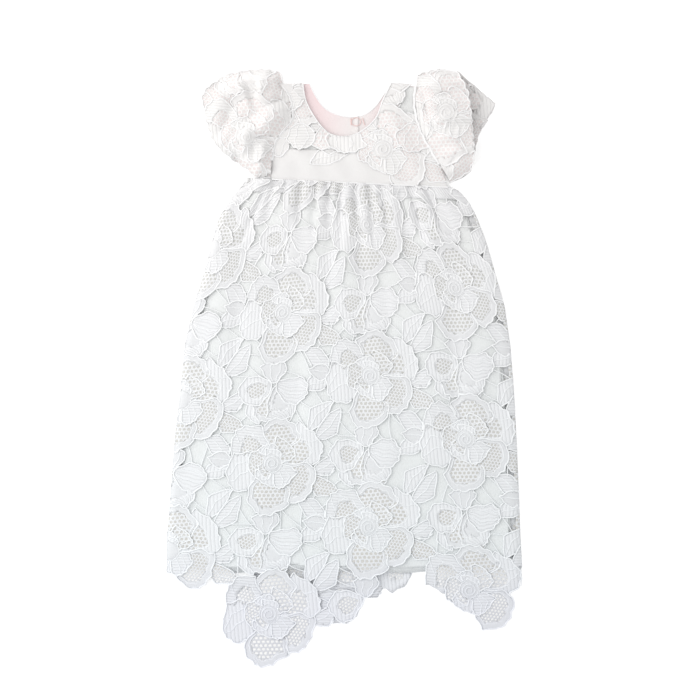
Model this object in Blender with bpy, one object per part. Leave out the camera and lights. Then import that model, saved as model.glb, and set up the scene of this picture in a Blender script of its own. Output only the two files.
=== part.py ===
"""Christening gown of guipure lace over satin, laid flat on its back.

Lengths are in millimetres until the meshes are made, and the frame is in metres.
+Z is up from the surface it lies on, +Y runs from the hem to the neck,
and +X is the right of the gown as seen from above.
"""
import math

import bpy
import numpy as np
from mathutils import Vector
from mathutils.bvhtree import BVHTree
from mathutils.geometry import delaunay_2d_cdt

MM = 0.001

# Cloth
LACE = 1.2          # thickness of the guipure
SATIN = 1.0         # thickness of the lining
SEAM = 0.3          # air between two layers or two sewn edges
CORE_RISE = 1.4     # how far a rose's heart stands above its petals

# Heights of the undersides above the surface
BACK_LACE_Z = 0.0
BACK_SATIN_Z = BACK_LACE_Z + LACE + SEAM
FRONT_SATIN_Z = BACK_SATIN_Z + SATIN + SEAM
FRONT_LACE_Z = FRONT_SATIN_Z + SATIN + SEAM
FRONT_EDGE_Z = BACK_LACE_Z + LACE + SEAM

# Main sizes
WAIST_Y = 221.5
WAIST_SLOPE = -0.0455   # the waist seam drops to the right
WAIST_LEFT = -87.0
WAIST_RIGHT = 124.0
LINING_HEM_Y = -238.0
LINING_INSET = 14.0
HEM_FALL = (-252.0, -272.0)     # where the front lace comes down past the linings
WAIST_PITCH = 7.0       # between the points along the waist seam
GATHER_DEPTH = 62.0     # how far below the waist the gathers stay crowded

# Left and right edge of the skirt, down from the waist
SKIRT_SIDES = (
    # down, left, right
    (0.0, -112.0, 124.0), (4.0, -121.8, 132.6), (13.0, -131.4, 140.6), (23.0, -138.4, 149.4),
    (42.0, -151.0, 159.0), (71.0, -159.0, 170.0), (109.0, -168.6, 181.0), (148.0, -181.0, 192.0),
    (196.0, -192.0, 199.0), (253.0, -197.0, 203.4), (301.0, -203.4, 206.0), (378.0, -209.4, 209.4),
    (426.0, -213.0, 211.0), (470.0, -213.5, 213.5), (590.0, -213.5, 213.5),
)
# How low the lace may hang, across the skirt
HEM = (
    # across, lowest
    (-214.0, -244.0), (-196.0, -250.0), (-172.0, -268.0), (-158.0, -285.0), (-146.0, -318.0),
    (-126.0, -358.0), (-92.0, -358.0), (-58.0, -350.0), (-40.0, -316.0), (-8.0, -306.0),
    (16.0, -296.0), (30.0, -272.0), (70.0, -264.0), (100.0, -252.0), (118.0, -262.0),
    (126.0, -306.0), (146.0, -322.0), (176.0, -318.0), (200.0, -312.0), (208.0, -284.0),
    (214.0, -244.0),
)

# How low the back's lace hangs
BACK_HEM = (
    # across, lowest
    (-214.0, -256.0), (-160.0, -262.0), (-120.0, -290.0), (-40.0, -300.0), (0.0, -312.0),
    (26.0, -306.0), (44.0, -270.0), (120.0, -262.0), (170.0, -280.0), (214.0, -256.0),
)
BACK_SHIFT = (58.0, 34.0)       # where the repeat sits on the back
BODICE_SHIFT = (16.0, 90.0)     # and on the bodice
SLEEVE_SHIFT = (-28.0, 28.0)    # and on the sleeves

# Bodice, from the shoulder round each side
LEFT_ARMHOLE = (
    # x, y
    (-74.0, 337.5), (-66.0, 324.0), (-62.5, 310.0), (-63.5, 296.0), (-74.0, 283.0), (-84.0, 268.0),
    (-87.0, 248.0),
)
RIGHT_ARMHOLE = (
    # x, y
    (86.0, 337.0), (84.0, 322.0), (86.0, 302.0), (92.0, 282.0), (103.0, 262.0), (114.0, 243.0),
)
FRONT_NECK = (
    # x, y
    (-50.0, 341.0), (-46.5, 320.0), (-35.0, 298.5), (-22.0, 283.0), (-8.0, 277.0), (8.0, 277.5),
    (26.0, 287.0), (39.0, 301.0), (46.0, 320.0), (56.0, 341.0),
)
BACK_NECK = (
    # x, y
    (-42.0, 341.0), (-34.0, 325.0), (-21.0, 309.0), (0.0, 301.0), (21.0, 302.0), (36.0, 312.0),
    (47.0, 327.0), (56.0, 341.0),
)
BACK_OPENING_X = 14.0
CROWN = 3.0         # how far the middle of the bodice stands above its edge
TAB = (7.0, 11.0)   # half width and length of the loop at the back opening

# Sleeves: edges from the shoulder round to the underarm
LEFT_SLEEVE = (
    # x, y, edge
    (-74.6, 343.0, "fold"), (-76.0, 353.0, "fold"), (-96.0, 357.5, "fold"), (-118.0, 356.0, "fold"),
    (-141.0, 351.0, "fold"), (-153.0, 343.0, "fold"), (-164.0, 334.0, "cuff"), (-170.5, 323.0, "cuff"),
    (-167.0, 308.0, "cuff"), (-163.0, 290.0, "cuff"), (-157.0, 272.0, "cuff"), (-145.0, 257.0, "cuff"),
    (-129.0, 246.0, "fold"), (-114.0, 237.0, "fold"), (-108.0, 229.5, "fold"), (-88.0, 227.5, "arm"),
)
RIGHT_SLEEVE_FRONT = (
    # x, y, edge
    (86.6, 343.0, "fold"), (88.0, 351.0, "fold"), (112.0, 357.5, "fold"), (135.0, 354.0, "fold"),
    (146.5, 330.0, "cuff"), (150.5, 306.0, "cuff"), (152.5, 280.0, "cuff"), (154.5, 250.0, "cuff"),
    (150.0, 236.0, "fold"), (138.0, 228.0, "fold"), (126.5, 222.0, "arm"),
)
RIGHT_SLEEVE_BACK = (
    # x, y
    (86.6, 343.0), (88.0, 351.0), (112.0, 357.5), (137.0, 355.0), (149.0, 343.0), (165.0, 329.0),
    (181.0, 317.0), (176.0, 304.0), (171.0, 295.0), (162.0, 284.0), (157.5, 268.0), (155.0, 248.0),
    (150.5, 234.5), (138.5, 226.5), (126.5, 221.5),
)
LEFT_LOBES = (
    # x, y, half length, half width, turn, height
    (-91.0, 336.0, 19.0, 13.0, 80.0, 11.0), (-89.0, 296.0, 24.0, 13.0, 40.0, 12.0),
    (-116.0, 276.0, 22.0, 12.0, 30.0, 8.0), (-126.0, 334.0, 20.0, 12.0, 10.0, 7.0),
    (-150.0, 308.0, 20.0, 11.0, 75.0, 6.0), (-122.0, 306.0, 18.0, 10.0, 20.0, 5.0),
    (-100.0, 256.0, 22.0, 9.0, 60.0, 4.0), (-140.0, 276.0, 16.0, 8.0, 45.0, 4.0),
)
RIGHT_LOBES = (
    # x, y, half length, half width, turn, height
    (112.0, 338.0, 26.0, 8.0, -5.0, 6.0), (118.0, 316.0, 28.0, 7.0, -2.0, 4.0),
    (122.0, 296.0, 26.0, 7.0, 6.0, 5.0), (128.0, 276.0, 24.0, 7.0, 10.0, 4.0),
    (134.0, 258.0, 20.0, 7.0, 14.0, 5.0),
)
ARM_RISE = 5.0      # how far a sleeve stands off its back half at the armhole
PUFF = 13.0         # and in its middle

# Where the middle of the whole outline lies before it is moved to the origin
MIDDLE = (-0.1, -0.6)

# Folds of the front: from the waist they run down and die out
FOLDS = (
    # x at waist, x at foot, length, half width, height
    (-96.0, -128.0, 96.0, 11.0, 5.0), (-78.0, -92.0, 60.0, 8.0, 4.2), (-62.0, -72.0, 130.0, 9.0, 5.4),
    (-44.0, -48.0, 74.0, 7.5, 4.0), (-29.0, -34.0, 104.0, 8.0, 5.2), (-12.0, -14.0, 70.0, 8.0, 4.6),
    (4.0, 0.0, 150.0, 9.0, 5.6), (22.0, 26.0, 118.0, 8.0, 4.8), (39.0, 48.0, 72.0, 8.0, 4.2),
    (56.0, 70.0, 110.0, 9.0, 5.0), (74.0, 96.0, 84.0, 9.0, 4.4), (92.0, 124.0, 130.0, 10.0, 5.2),
    (110.0, 148.0, 70.0, 9.0, 4.4),
)
# Broad soft waves lower down
WAVES = (
    # x, y, half width, half length, height
    (-150.0, 30.0, 22.0, 150.0, 2.2), (-100.0, -60.0, 20.0, 130.0, 2.0), (-40.0, 20.0, 20.0, 140.0, 1.8),
    (0.0, 40.0, 18.0, 120.0, 2.4), (50.0, -40.0, 22.0, 130.0, 1.8), (105.0, 10.0, 20.0, 150.0, 2.2),
    (160.0, -20.0, 20.0, 150.0, 2.0),
)

# The lace repeat
ROSE_PITCH = (120.0, 181.0)
ROSE_DROP = 76.0
ROSE_START = (-210.0, 142.0)
PETAL_SIDES = (
    # along, half width
    (0.00, 0.10), (0.16, 0.30), (0.40, 0.47), (0.66, 0.50), (0.86, 0.40), (0.96, 0.20),
)
LEAF_SIDES = (
    # along, half width
    (0.00, 0.06), (0.18, 0.30), (0.42, 0.46), (0.66, 0.36), (0.86, 0.15),
)
ROSE = (
    # starts at, turn, length, width, bow
    (8.0, 20.0, 56.0, 52.0, 0.10), (8.0, 82.0, 47.0, 46.0, -0.10), (8.0, 140.0, 52.0, 48.0, 0.12),
    (9.0, 200.0, 49.0, 48.0, -0.08), (9.0, 318.0, 50.0, 48.0, 0.10), (9.0, 262.0, 54.0, 46.0, 0.05),
)
BUD = (
    # starts at, turn, length, width, bow
    (4.0, 250.0, 42.0, 36.0, 0.10), (4.0, 300.0, 42.0, 36.0, -0.10), (4.0, 192.0, 42.0, 34.0, 0.10),
    (4.0, 350.0, 40.0, 34.0, -0.10), (2.0, 92.0, 28.0, 28.0, 0.00),
)
BUD_PLACE = (-4.0, -86.0)
LEAVES = (
    # x, y, turn, length, width
    (34.0, -44.0, 318.0, 48.0, 25.0), (-38.0, 40.0, 148.0, 46.0, 24.0), (44.0, 40.0, 50.0, 46.0, 23.0),
    (-38.0, -40.0, 228.0, 52.0, 25.0), (34.0, -92.0, 14.0, 46.0, 22.0), (-50.0, 4.0, 172.0, 30.0, 22.0),
    (-38.0, -98.0, 204.0, 40.0, 22.0), (12.0, 46.0, 74.0, 38.0, 24.0), (52.0, -6.0, 352.0, 26.0, 20.0),
    (-20.0, 48.0, 112.0, 34.0, 19.0),
)
HEART = 12.0        # radius of a rose's heart

# How closely the cut edges follow the petals, and the least gap that is cut
EDGE_TOLERANCE = 1.1
GAP_TOLERANCE = 1.1
GAP_LEAST = 22.0
BACK_GAP_LEAST = 60.0
LIFT_ROUNDS = 3


def soft(t):
    """Goes smoothly from 0 to 1 as t does."""
    t = np.clip(t, 0.0, 1.0)
    return t * t * (3.0 - 2.0 * t)


def smooth_ring(points, corners=(), steps=3):
    """Runs a closed smooth curve through the points, sharp at the corners."""
    count = len(points)
    ring = []
    for i in range(count):
        a, b, c, d = (np.array(points[(i + k) % count], float) for k in (-1, 0, 1, 2))
        if i in corners:
            a = b
        if (i + 1) % count in corners:
            d = c
        for s in range(steps):
            t = s / steps
            pull = (c - a) * t + (2.0 * a - 5.0 * b + 4.0 * c - d) * t * t
            ring.append(0.5 * (2.0 * b + pull + (3.0 * b - a - 3.0 * c + d) * t ** 3))
    return np.array(ring)


def petal(x, y, turn, length, width, bow, sides, start=0.0, vary=0.0):
    """Outline of one petal or leaf that grows from x, y."""
    left = [(a, w * (1.0 + 0.12 * math.sin(vary * 1.7 + 5.0 * a))) for a, w in sides]
    right = [(a, -w * (1.0 + 0.12 * math.cos(vary * 2.3 + 4.0 * a))) for a, w in sides]
    tip = (1.0 + 0.03 * math.sin(vary * 3.0), 0.06 * math.sin(vary * 5.0))
    ring = left + [tip] + right[::-1]
    bent = [(start + a * length, w * width + bow * length * math.sin(math.pi * a)) for a, w in ring]
    points = smooth_ring(bent, {len(left)})
    c, s = math.cos(math.radians(turn)), math.sin(math.radians(turn))
    across = x + points[:, 0] * c - points[:, 1] * s
    return np.stack([across, y + points[:, 0] * s + points[:, 1] * c], 1)


def lace_shapes(low, high, shift=(0.0, 0.0)):
    """Petals, buds and leaves of every repeat between two heights, with the rose hearts."""
    shapes, hearts = [], []
    for column in range(-1, 5):
        u = ROSE_START[0] + column * ROSE_PITCH[0] + shift[0]
        top = ROSE_START[1] - column * ROSE_DROP + shift[1]
        first = -math.floor((high + ROSE_PITCH[1] - top) / ROSE_PITCH[1])
        for row in range(first, first + 6):
            v = top - row * ROSE_PITCH[1]
            if v < low - ROSE_PITCH[1] or v > high + ROSE_PITCH[1]:
                continue
            for dx, dy, turn, length, width in LEAVES:
                shapes.append(petal(u + dx, v + dy, turn, length, width, 0.08, LEAF_SIDES, 0.0, dx))
            bx, by = u + BUD_PLACE[0], v + BUD_PLACE[1]
            for k, (start, turn, length, width, bow) in enumerate(BUD):
                shapes.append(petal(bx, by, turn, length, width, bow, PETAL_SIDES, start, k + u))
            for k, (start, turn, length, width, bow) in enumerate(ROSE):
                shapes.append(petal(u, v, turn, length, width, bow, PETAL_SIDES, start, k + u + v))
            turns = np.linspace(0.0, 2.0 * math.pi, 16, endpoint=False)
            shapes.append(np.column_stack([u + HEART * np.cos(turns), v + HEART * np.sin(turns)]))
            hearts.append((u, v))
    return shapes, hearts


class Grid:
    """Square cells over a part of the plane, to join shapes and find the gaps between them."""

    def __init__(self, left, low, right, high, cell):
        self.left, self.low, self.cell = left, low, cell
        self.wide = int(math.ceil((right - left) / cell))
        self.tall = int(math.ceil((high - low) / cell))
        self.x = left + (np.arange(self.wide) + 0.5) * cell
        self.y = low + (np.arange(self.tall) + 0.5) * cell

    def fill(self, ring):
        """Cells whose middle is inside the ring."""
        mask = np.zeros((self.tall, self.wide), bool)
        i0, j0 = ((ring.min(0) - (self.left, self.low)) / self.cell).astype(int) - 1
        i1, j1 = ((ring.max(0) - (self.left, self.low)) / self.cell).astype(int) + 2
        i0, i1 = max(i0, 0), min(i1, self.wide)
        j0, j1 = max(j0, 0), min(j1, self.tall)
        if i0 >= i1 or j0 >= j1:
            return mask
        px, py = np.meshgrid(self.x[i0:i1], self.y[j0:j1])
        mask[j0:j1, i0:i1] = inside(ring, px, py)
        return mask

    def regions(self, mask):
        """Number of the joined region that each cell of the mask is in, and the cells of each."""
        label = np.zeros(mask.shape, int)
        cells = [None]
        for j, i in zip(*np.nonzero(mask)):
            if label[j, i]:
                continue
            number = len(cells)
            label[j, i] = number
            found = [(j, i)]
            for a, b in found:
                for c, d in ((a + 1, b), (a - 1, b), (a, b + 1), (a, b - 1)):
                    if 0 <= c < self.tall and 0 <= d < self.wide and mask[c, d] and not label[c, d]:
                        label[c, d] = number
                        found.append((c, d))
            cells.append(found)
        return label, cells

    def border(self, mask):
        """Longest closed border of the mask, smoothed off its steps."""
        full = np.pad(mask, 1)
        step = {}
        for j, i in zip(*np.nonzero(full)):
            if not full[j - 1, i]:
                step.setdefault((i, j), []).append((i + 1, j))
            if not full[j, i + 1]:
                step.setdefault((i + 1, j), []).append((i + 1, j + 1))
            if not full[j + 1, i]:
                step.setdefault((i + 1, j + 1), []).append((i, j + 1))
            if not full[j, i - 1]:
                step.setdefault((i, j + 1), []).append((i, j))
        best = []
        while step:
            start = next(iter(step))
            ring, here, came = [], start, None
            while here in step:
                ways = step[here]
                way = 0
                if len(ways) > 1 and came is not None:
                    for k, (a, b) in enumerate(ways):
                        turn = (came[0] * (b - here[1])) - (came[1] * (a - here[0]))
                        if turn > 0:
                            way = k
                after = ways.pop(way)
                if not ways:
                    del step[here]
                ring.append(here)
                came = (after[0] - here[0], after[1] - here[1])
                here = after
            if len(ring) > len(best):
                best = ring
        ring = np.array(best, float) - 1.0
        ring = ring * self.cell + (self.left, self.low)
        for _ in range(2):
            ring = (np.roll(ring, 1, 0) + 2.0 * ring + np.roll(ring, -1, 0)) / 4.0
        return ring


def inside(ring, px, py):
    """True where the point is inside the ring."""
    hit = np.zeros(np.shape(px), bool)
    for (x0, y0), (x1, y1) in zip(ring, np.roll(ring, -1, 0)):
        if y0 == y1:
            continue
        over = (y0 > py) != (y1 > py)
        hit ^= over & (px < x0 + (py - y0) * (x1 - x0) / (y1 - y0))
    return hit


def thin_line(line, tolerance):
    """Keeps the points of an open line that lie off its chords by more than the tolerance."""
    if len(line) < 3:
        return list(line)
    a, b = line[0], line[-1]
    along = b - a
    length = math.hypot(*along)
    if length < 1e-9:
        off = np.hypot(*(line - a).T)
    else:
        off = np.abs(along[0] * (line[:, 1] - a[1]) - along[1] * (line[:, 0] - a[0])) / length
    k = int(np.argmax(off))
    if off[k] <= tolerance:
        return [a, b]
    return thin_line(line[:k + 1], tolerance)[:-1] + thin_line(line[k:], tolerance)


def thin_ring(ring, tolerance):
    """The ring with few points, all within the tolerance of the full one."""
    far = int(np.argmax(np.hypot(*(ring - ring[0]).T)))
    first = thin_line(ring[:far + 1], tolerance)
    second = thin_line(np.concatenate([ring[far:], ring[:1]]), tolerance)
    return np.array(first[:-1] + second[:-1])


def clear(points, rings, distance):
    """Points at least the distance from every edge of the rings."""
    keep = np.ones(len(points), bool)
    for ring in rings:
        a, b = ring, np.roll(ring, -1, 0)
        ab = b - a
        span = np.maximum((ab ** 2).sum(1), 1e-9)
        for k, p in enumerate(points):
            if keep[k]:
                t = np.clip(((p - a) * ab).sum(1) / span, 0.0, 1.0)
                near = np.hypot(*(p - a - ab * t[:, None]).T).min()
                keep[k] = near >= distance
    return points[keep]


def laid_on(beds, spots, faces, low):
    """Lifts the underside wherever it would come closer than a seam to what it lies on."""
    trees = []
    for bed in beds:
        corners = [vertex.co / MM for vertex in bed.data.vertices]
        trees.append(BVHTree.FromPolygons(corners, [face.vertices[:] for face in bed.data.polygons]))
    shares = [(i / 6.0, j / 6.0, 1.0 - (i + j) / 6.0) for i in range(7) for j in range(7 - i)]
    down = Vector((0.0, 0.0, -1.0))
    low = low.copy()
    for _ in range(LIFT_ROUNDS):
        lift = np.zeros(len(low))
        for face in faces:
            face = list(face)
            for share in shares:
                x, y = np.dot(share, spots[face])
                z = np.dot(share, low[face])
                for tree in trees:
                    hit = tree.ray_cast(Vector((x, y, 100.0)), down)[0]
                    if hit is not None and hit.z + 1.4 * SEAM > z:
                        lift[face] = np.maximum(lift[face], hit.z + 1.4 * SEAM - z)
        if lift.max() < 0.01:
            break
        low += lift
    return low


def wall(name, rings, inner, under, thick, material, beds=(), spacing=3.0):
    """Closed cloth wall: the first ring is its edge, the others its gaps.

    under gives the height of the underside and thick the upright thickness at each point.
    beds are the pieces that it lies on.
    """
    rings = [np.array(r, float) for r in rings]
    inner = np.array(inner, float).reshape(-1, 2)
    inner = inner[inside(rings[0], inner[:, 0], inner[:, 1])]
    for gap in rings[1:]:
        inner = inner[~inside(gap, inner[:, 0], inner[:, 1])]
    inner = clear(inner, rings, spacing)
    points, edges = [], []
    for ring in rings:
        first = len(points)
        points += [tuple(p) for p in ring]
        edges += [(first + k, first + (k + 1) % len(ring)) for k in range(len(ring))]
    points += [tuple(p) for p in inner]
    flat = delaunay_2d_cdt([Vector(p) for p in points], edges, [], 1, 1e-5, True)
    spots = np.array([tuple(v) for v in flat[0]])
    faces = []
    for face in flat[2]:
        middle = spots[list(face)].mean(0)
        if not inside(rings[0], middle[0], middle[1]):
            continue
        if any(inside(gap, middle[0], middle[1]) for gap in rings[1:]):
            continue
        faces.append(tuple(face))
    used = sorted({v for face in faces for v in face})
    index = {v: k for k, v in enumerate(used)}
    spots = spots[used]
    faces = [tuple(index[v] for v in face) for face in faces]
    low = under(spots[:, 0], spots[:, 1]) + np.zeros(len(spots))
    if beds:
        low = laid_on(beds, spots, faces, low)
    high = low + thick(spots[:, 0], spots[:, 1])
    count = len(spots)
    body = []
    sides = {}
    for a, b, c in faces:
        body.append((a + count, b + count, c + count))
        body.append((c, b, a))
        for edge in ((a, b), (b, c), (c, a)):
            sides[edge] = True
    for a, b in sides:
        if (b, a) not in sides:
            body.append((a, b, b + count))
            body.append((a, b + count, a + count))
    corners = np.concatenate([np.column_stack([spots, low]), np.column_stack([spots, high])])
    mesh = bpy.data.meshes.new(name)
    mesh.from_pydata((corners * MM).tolist(), [], body)
    mesh.validate()
    mesh.materials.append(material)
    mesh.shade_smooth()
    piece = bpy.data.objects.new(name, mesh)
    bpy.context.scene.collection.objects.link(piece)
    return piece


def cloth(name, colour, roughness):
    """A plain cloth material."""
    material = bpy.data.materials.new(name)
    material.use_nodes = True
    shader = material.node_tree.nodes["Principled BSDF"]
    shader.inputs["Base Color"].default_value = (*colour, 1.0)
    shader.inputs["Roughness"].default_value = roughness
    shader.inputs["Metallic"].default_value = 0.0
    return material


def waist(x):
    """Height of the waist seam."""
    return WAIST_Y + WAIST_SLOPE * (np.asarray(x, float) - 18.0)


def skirt_edges(y):
    """Left and right edge of the skirt at a height."""
    down = [row[0] for row in SKIRT_SIDES]
    left = np.interp(WAIST_Y - y, down, [row[1] for row in SKIRT_SIDES])
    right = np.interp(WAIST_Y - y, down, [row[2] for row in SKIRT_SIDES])
    return left, right


def from_cloth(u, v):
    """Takes a point of the flat cloth to the gathered skirt."""
    left, right = skirt_edges(v)
    full = SKIRT_SIDES[-1][2]
    return (left + right) / 2.0 + u * (right - left) / (2.0 * full)


def folds(x, y):
    """Height of the gathers and broad waves above the lying cloth."""
    x, y = np.asarray(x, float), np.asarray(y, float)
    down = np.maximum(waist(x) - y, 0.0)
    rise = np.zeros(np.broadcast(x, y).shape)
    for x0, x1, length, half, height in FOLDS:
        t = down / length
        middle = x0 + (x1 - x0) * t
        width = half * (1.0 + 0.6 * t)
        fade = soft(1.0 - t) * (0.35 + 0.65 * soft(down / 14.0))
        rise = np.maximum(rise, height * fade * np.exp(-((x - middle) / width) ** 2))
    for x0, y0, half, length, height in WAVES:
        rise = rise + height * np.exp(-((x - x0) / half) ** 2 - ((y - y0) / length) ** 4)
    return rise


def from_side(x, y):
    """How far a point lies inside the skirt's nearer side."""
    left, right = skirt_edges(y)
    return np.minimum(x - left, right - x)


def skirt_lattice():
    """Points that follow the folds, in rows from the waist to the hem."""
    drops = [4.0, 11.0, 20.0, 30.0, 42.0, 56.0, 72.0, 92.0, 116.0, 144.0]
    drops += list(np.arange(176.0, 570.0, 32.0))
    points = []
    for k, drop in enumerate(drops):
        left, right = skirt_edges(WAIST_Y - drop)
        pitch = min(8.0 + 0.12 * max(0.0, drop - GATHER_DEPTH), 21.0)
        left, right = left + LINING_INSET + 9.0, right - LINING_INSET - 9.0
        count = int(round((right - left) / pitch))
        for s in (np.arange(count + 1) + 0.5 * (k % 2)) / (count + 0.5):
            x = left + s * (right - left)
            y = float(waist(x)) - drop
            if y < LINING_HEM_Y + 10.0:
                y = min(y, HEM_FALL[1] - 14.0)
            points.append((x, y))
    return points


def rim_lattice():
    """Points close inside the sides and the lining's hem, where the front comes down to the back."""
    points = []
    for y in np.arange(WAIST_Y - 8.0, LINING_HEM_Y - 50.0, -15.0):
        left, right = skirt_edges(y)
        points += [(left + 0.5 * LINING_INSET, y), (right - 0.5 * LINING_INSET, y)]
    left, right = skirt_edges(HEM_FALL[0])
    for y in HEM_FALL:
        points += [(x, y) for x in np.arange(left + 8.0, right - 8.0, 15.0)]
    return points


def satin_under(x, y):
    """Underside of the front lining."""
    lift = soft((from_side(x, y) - LINING_INSET) / 12.0)
    return FRONT_SATIN_Z + 0.85 * lift * folds(x, y)


def lace_under(x, y):
    """Underside of the front lace, which comes down to the back at the sides and the hem."""
    side = soft(from_side(x, y) / (0.5 * LINING_INSET))
    hem = soft((y - HEM_FALL[1]) / (HEM_FALL[0] - HEM_FALL[1]))
    return FRONT_EDGE_Z + side * hem * (FRONT_LACE_Z - FRONT_EDGE_Z + folds(x, y))


def skirt_cover(grid, shapes, hem_rows):
    """Cells of the skirt that the lace covers."""
    px, py = np.meshgrid(grid.x, grid.y)
    left, right = skirt_edges(py)
    across = [row[0] for row in hem_rows]
    lowest = [row[1] for row in hem_rows]
    within = (px > left) & (px < right) & (py < waist(px)) & (py > np.interp(px, across, lowest) - 8.0)
    cover = py > waist(px) - 16.0
    cover |= (np.minimum(px - left, right - px) < 4.0) & (py > LINING_HEM_Y)
    for ring in shapes:
        mapped = np.column_stack([from_cloth(ring[:, 0], ring[:, 1]), ring[:, 1]])
        if mapped[:, 1].min() > np.interp(mapped[:, 0].mean(), across, lowest) - 6.0:
            cover |= grid.fill(mapped)
    return cover & within


def joined(grid, cover):
    """The largest joined region of the cover."""
    label, cells = grid.regions(cover)
    biggest = max(range(1, len(cells)), key=lambda k: len(cells[k]))
    return label == biggest


def gaps_of(grid, cover, least, most):
    """Rings of the closed gaps in the cover, largest first, with every bar 2 cells wide or more."""
    hole = ~cover
    shut = hole.copy()
    for axis in (0, 1):
        for way in (-1, 1):
            shut &= np.roll(hole, way, axis)
    label, cells = grid.regions(shut)
    outside = set(label[0]) | set(label[-1]) | set(label[:, 0]) | set(label[:, -1])
    sizes = [(len(found), k) for k, found in enumerate(cells) if found and k not in outside]
    rings = []
    for size, k in sorted(sizes, reverse=True)[:most]:
        if size * grid.cell ** 2 >= least:
            ring = thin_ring(grid.border(label == k), GAP_TOLERANCE)
            if len(ring) > 3:
                rings.append(ring)
    return rings


def bodice_ring(neck, inset=0.0):
    """Edge of the bodice with one of its necklines, each edge moved in by the inset."""
    right = [(WAIST_RIGHT, float(waist(WAIST_RIGHT)) + SEAM)]
    left = [(WAIST_LEFT, float(waist(WAIST_LEFT)) + SEAM)]
    ring = list(LEFT_ARMHOLE)[::-1] + list(neck) + list(RIGHT_ARMHOLE) + right + left
    return moved_in(np.array(ring), inset)


def moved_in(ring, inset):
    """The ring with every edge moved inwards."""
    if not inset:
        return ring
    after, before = np.roll(ring, -1, 0) - ring, ring - np.roll(ring, 1, 0)
    area = np.sum(ring[:, 0] * np.roll(ring[:, 1], -1) - np.roll(ring[:, 0], -1) * ring[:, 1])
    way = 1.0 if area > 0.0 else -1.0
    n1 = np.column_stack([-before[:, 1], before[:, 0]]) / np.hypot(*before.T)[:, None]
    n2 = np.column_stack([-after[:, 1], after[:, 0]]) / np.hypot(*after.T)[:, None]
    half = n1 + n2
    half /= np.maximum((half * n1).sum(1), 0.35)[:, None]
    return ring + way * inset * half


def near(ring, x, y, closed=True):
    """Distance from each point to the ring's edges."""
    x, y = np.asarray(x, float), np.asarray(y, float)
    best = np.full(np.broadcast(x, y).shape, 1e9)
    ends = np.roll(ring, -1, 0) if closed else ring[1:]
    for (x0, y0), (x1, y1) in zip(ring, ends):
        span = max((x1 - x0) ** 2 + (y1 - y0) ** 2, 1e-9)
        t = np.clip(((x - x0) * (x1 - x0) + (y - y0) * (y1 - y0)) / span, 0.0, 1.0)
        best = np.minimum(best, np.hypot(x - x0 - t * (x1 - x0), y - y0 - t * (y1 - y0)))
    return best


def divided(ring, pitch):
    """The ring with its long edges divided."""
    points = []
    for a, b in zip(ring, np.roll(ring, -1, 0)):
        count = max(1, int(round(math.hypot(*(b - a)) / pitch)))
        points += [a + (b - a) * k / count for k in range(count)]
    return np.array(points)


def lattice(ring, pitch):
    """Evenly staggered points inside a ring."""
    points = []
    for k, y in enumerate(np.arange(ring[:, 1].min() + 0.5 * pitch, ring[:, 1].max(), 0.87 * pitch)):
        for x in np.arange(ring[:, 0].min() + 0.5 * pitch * (k % 2), ring[:, 0].max(), pitch):
            points.append((x, y))
    return points


def bodice_rise(x, y, crease=0.0):
    """How far the front of the bodice stands above its lying edge, with shallow creases."""
    edge = near(bodice_ring(FRONT_NECK), x, y)
    return CROWN * soft(edge / 30.0) + crease * soft(edge / 10.0) * np.sin(0.10 * x + 0.05 * y) ** 2


def lobes(table, x, y):
    """Highest of the lobes at each point."""
    rise = np.zeros(np.broadcast(x, y).shape)
    for x0, y0, long, wide, turn, height in table:
        c, s = math.cos(math.radians(turn)), math.sin(math.radians(turn))
        a = ((x - x0) * c + (y - y0) * s) / long
        b = (-(x - x0) * s + (y - y0) * c) / wide
        rise = np.maximum(rise, height * np.exp(-a * a - b * b))
    return rise


def sleeve_under(rows, armhole, table):
    """Gives the function for the underside of a sleeve's front half."""
    cut = next(k for k, row in enumerate(rows) if row[2] == "cuff")
    last = max(k for k, row in enumerate(rows) if row[2] == "cuff")
    upper = np.array([(row[0], row[1]) for row in rows[:cut]])
    lower = np.array([(row[0], row[1]) for row in rows[last + 1:]])
    arm = np.array(armhole)

    def under(x, y):
        off_fold = np.minimum(near(upper, x, y, False), near(lower, x, y, False))
        off_arm = near(arm, x, y, False)
        body = ARM_RISE + (PUFF - ARM_RISE) * soft(off_arm / 26.0)
        body = body + lobes(table, x, y) * soft(off_arm / 12.0)
        return FRONT_EDGE_Z + soft(off_fold / 15.0) * body

    return under


def flat(height):
    """A level underside."""
    return lambda x, y: height + 0.0 * x


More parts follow.
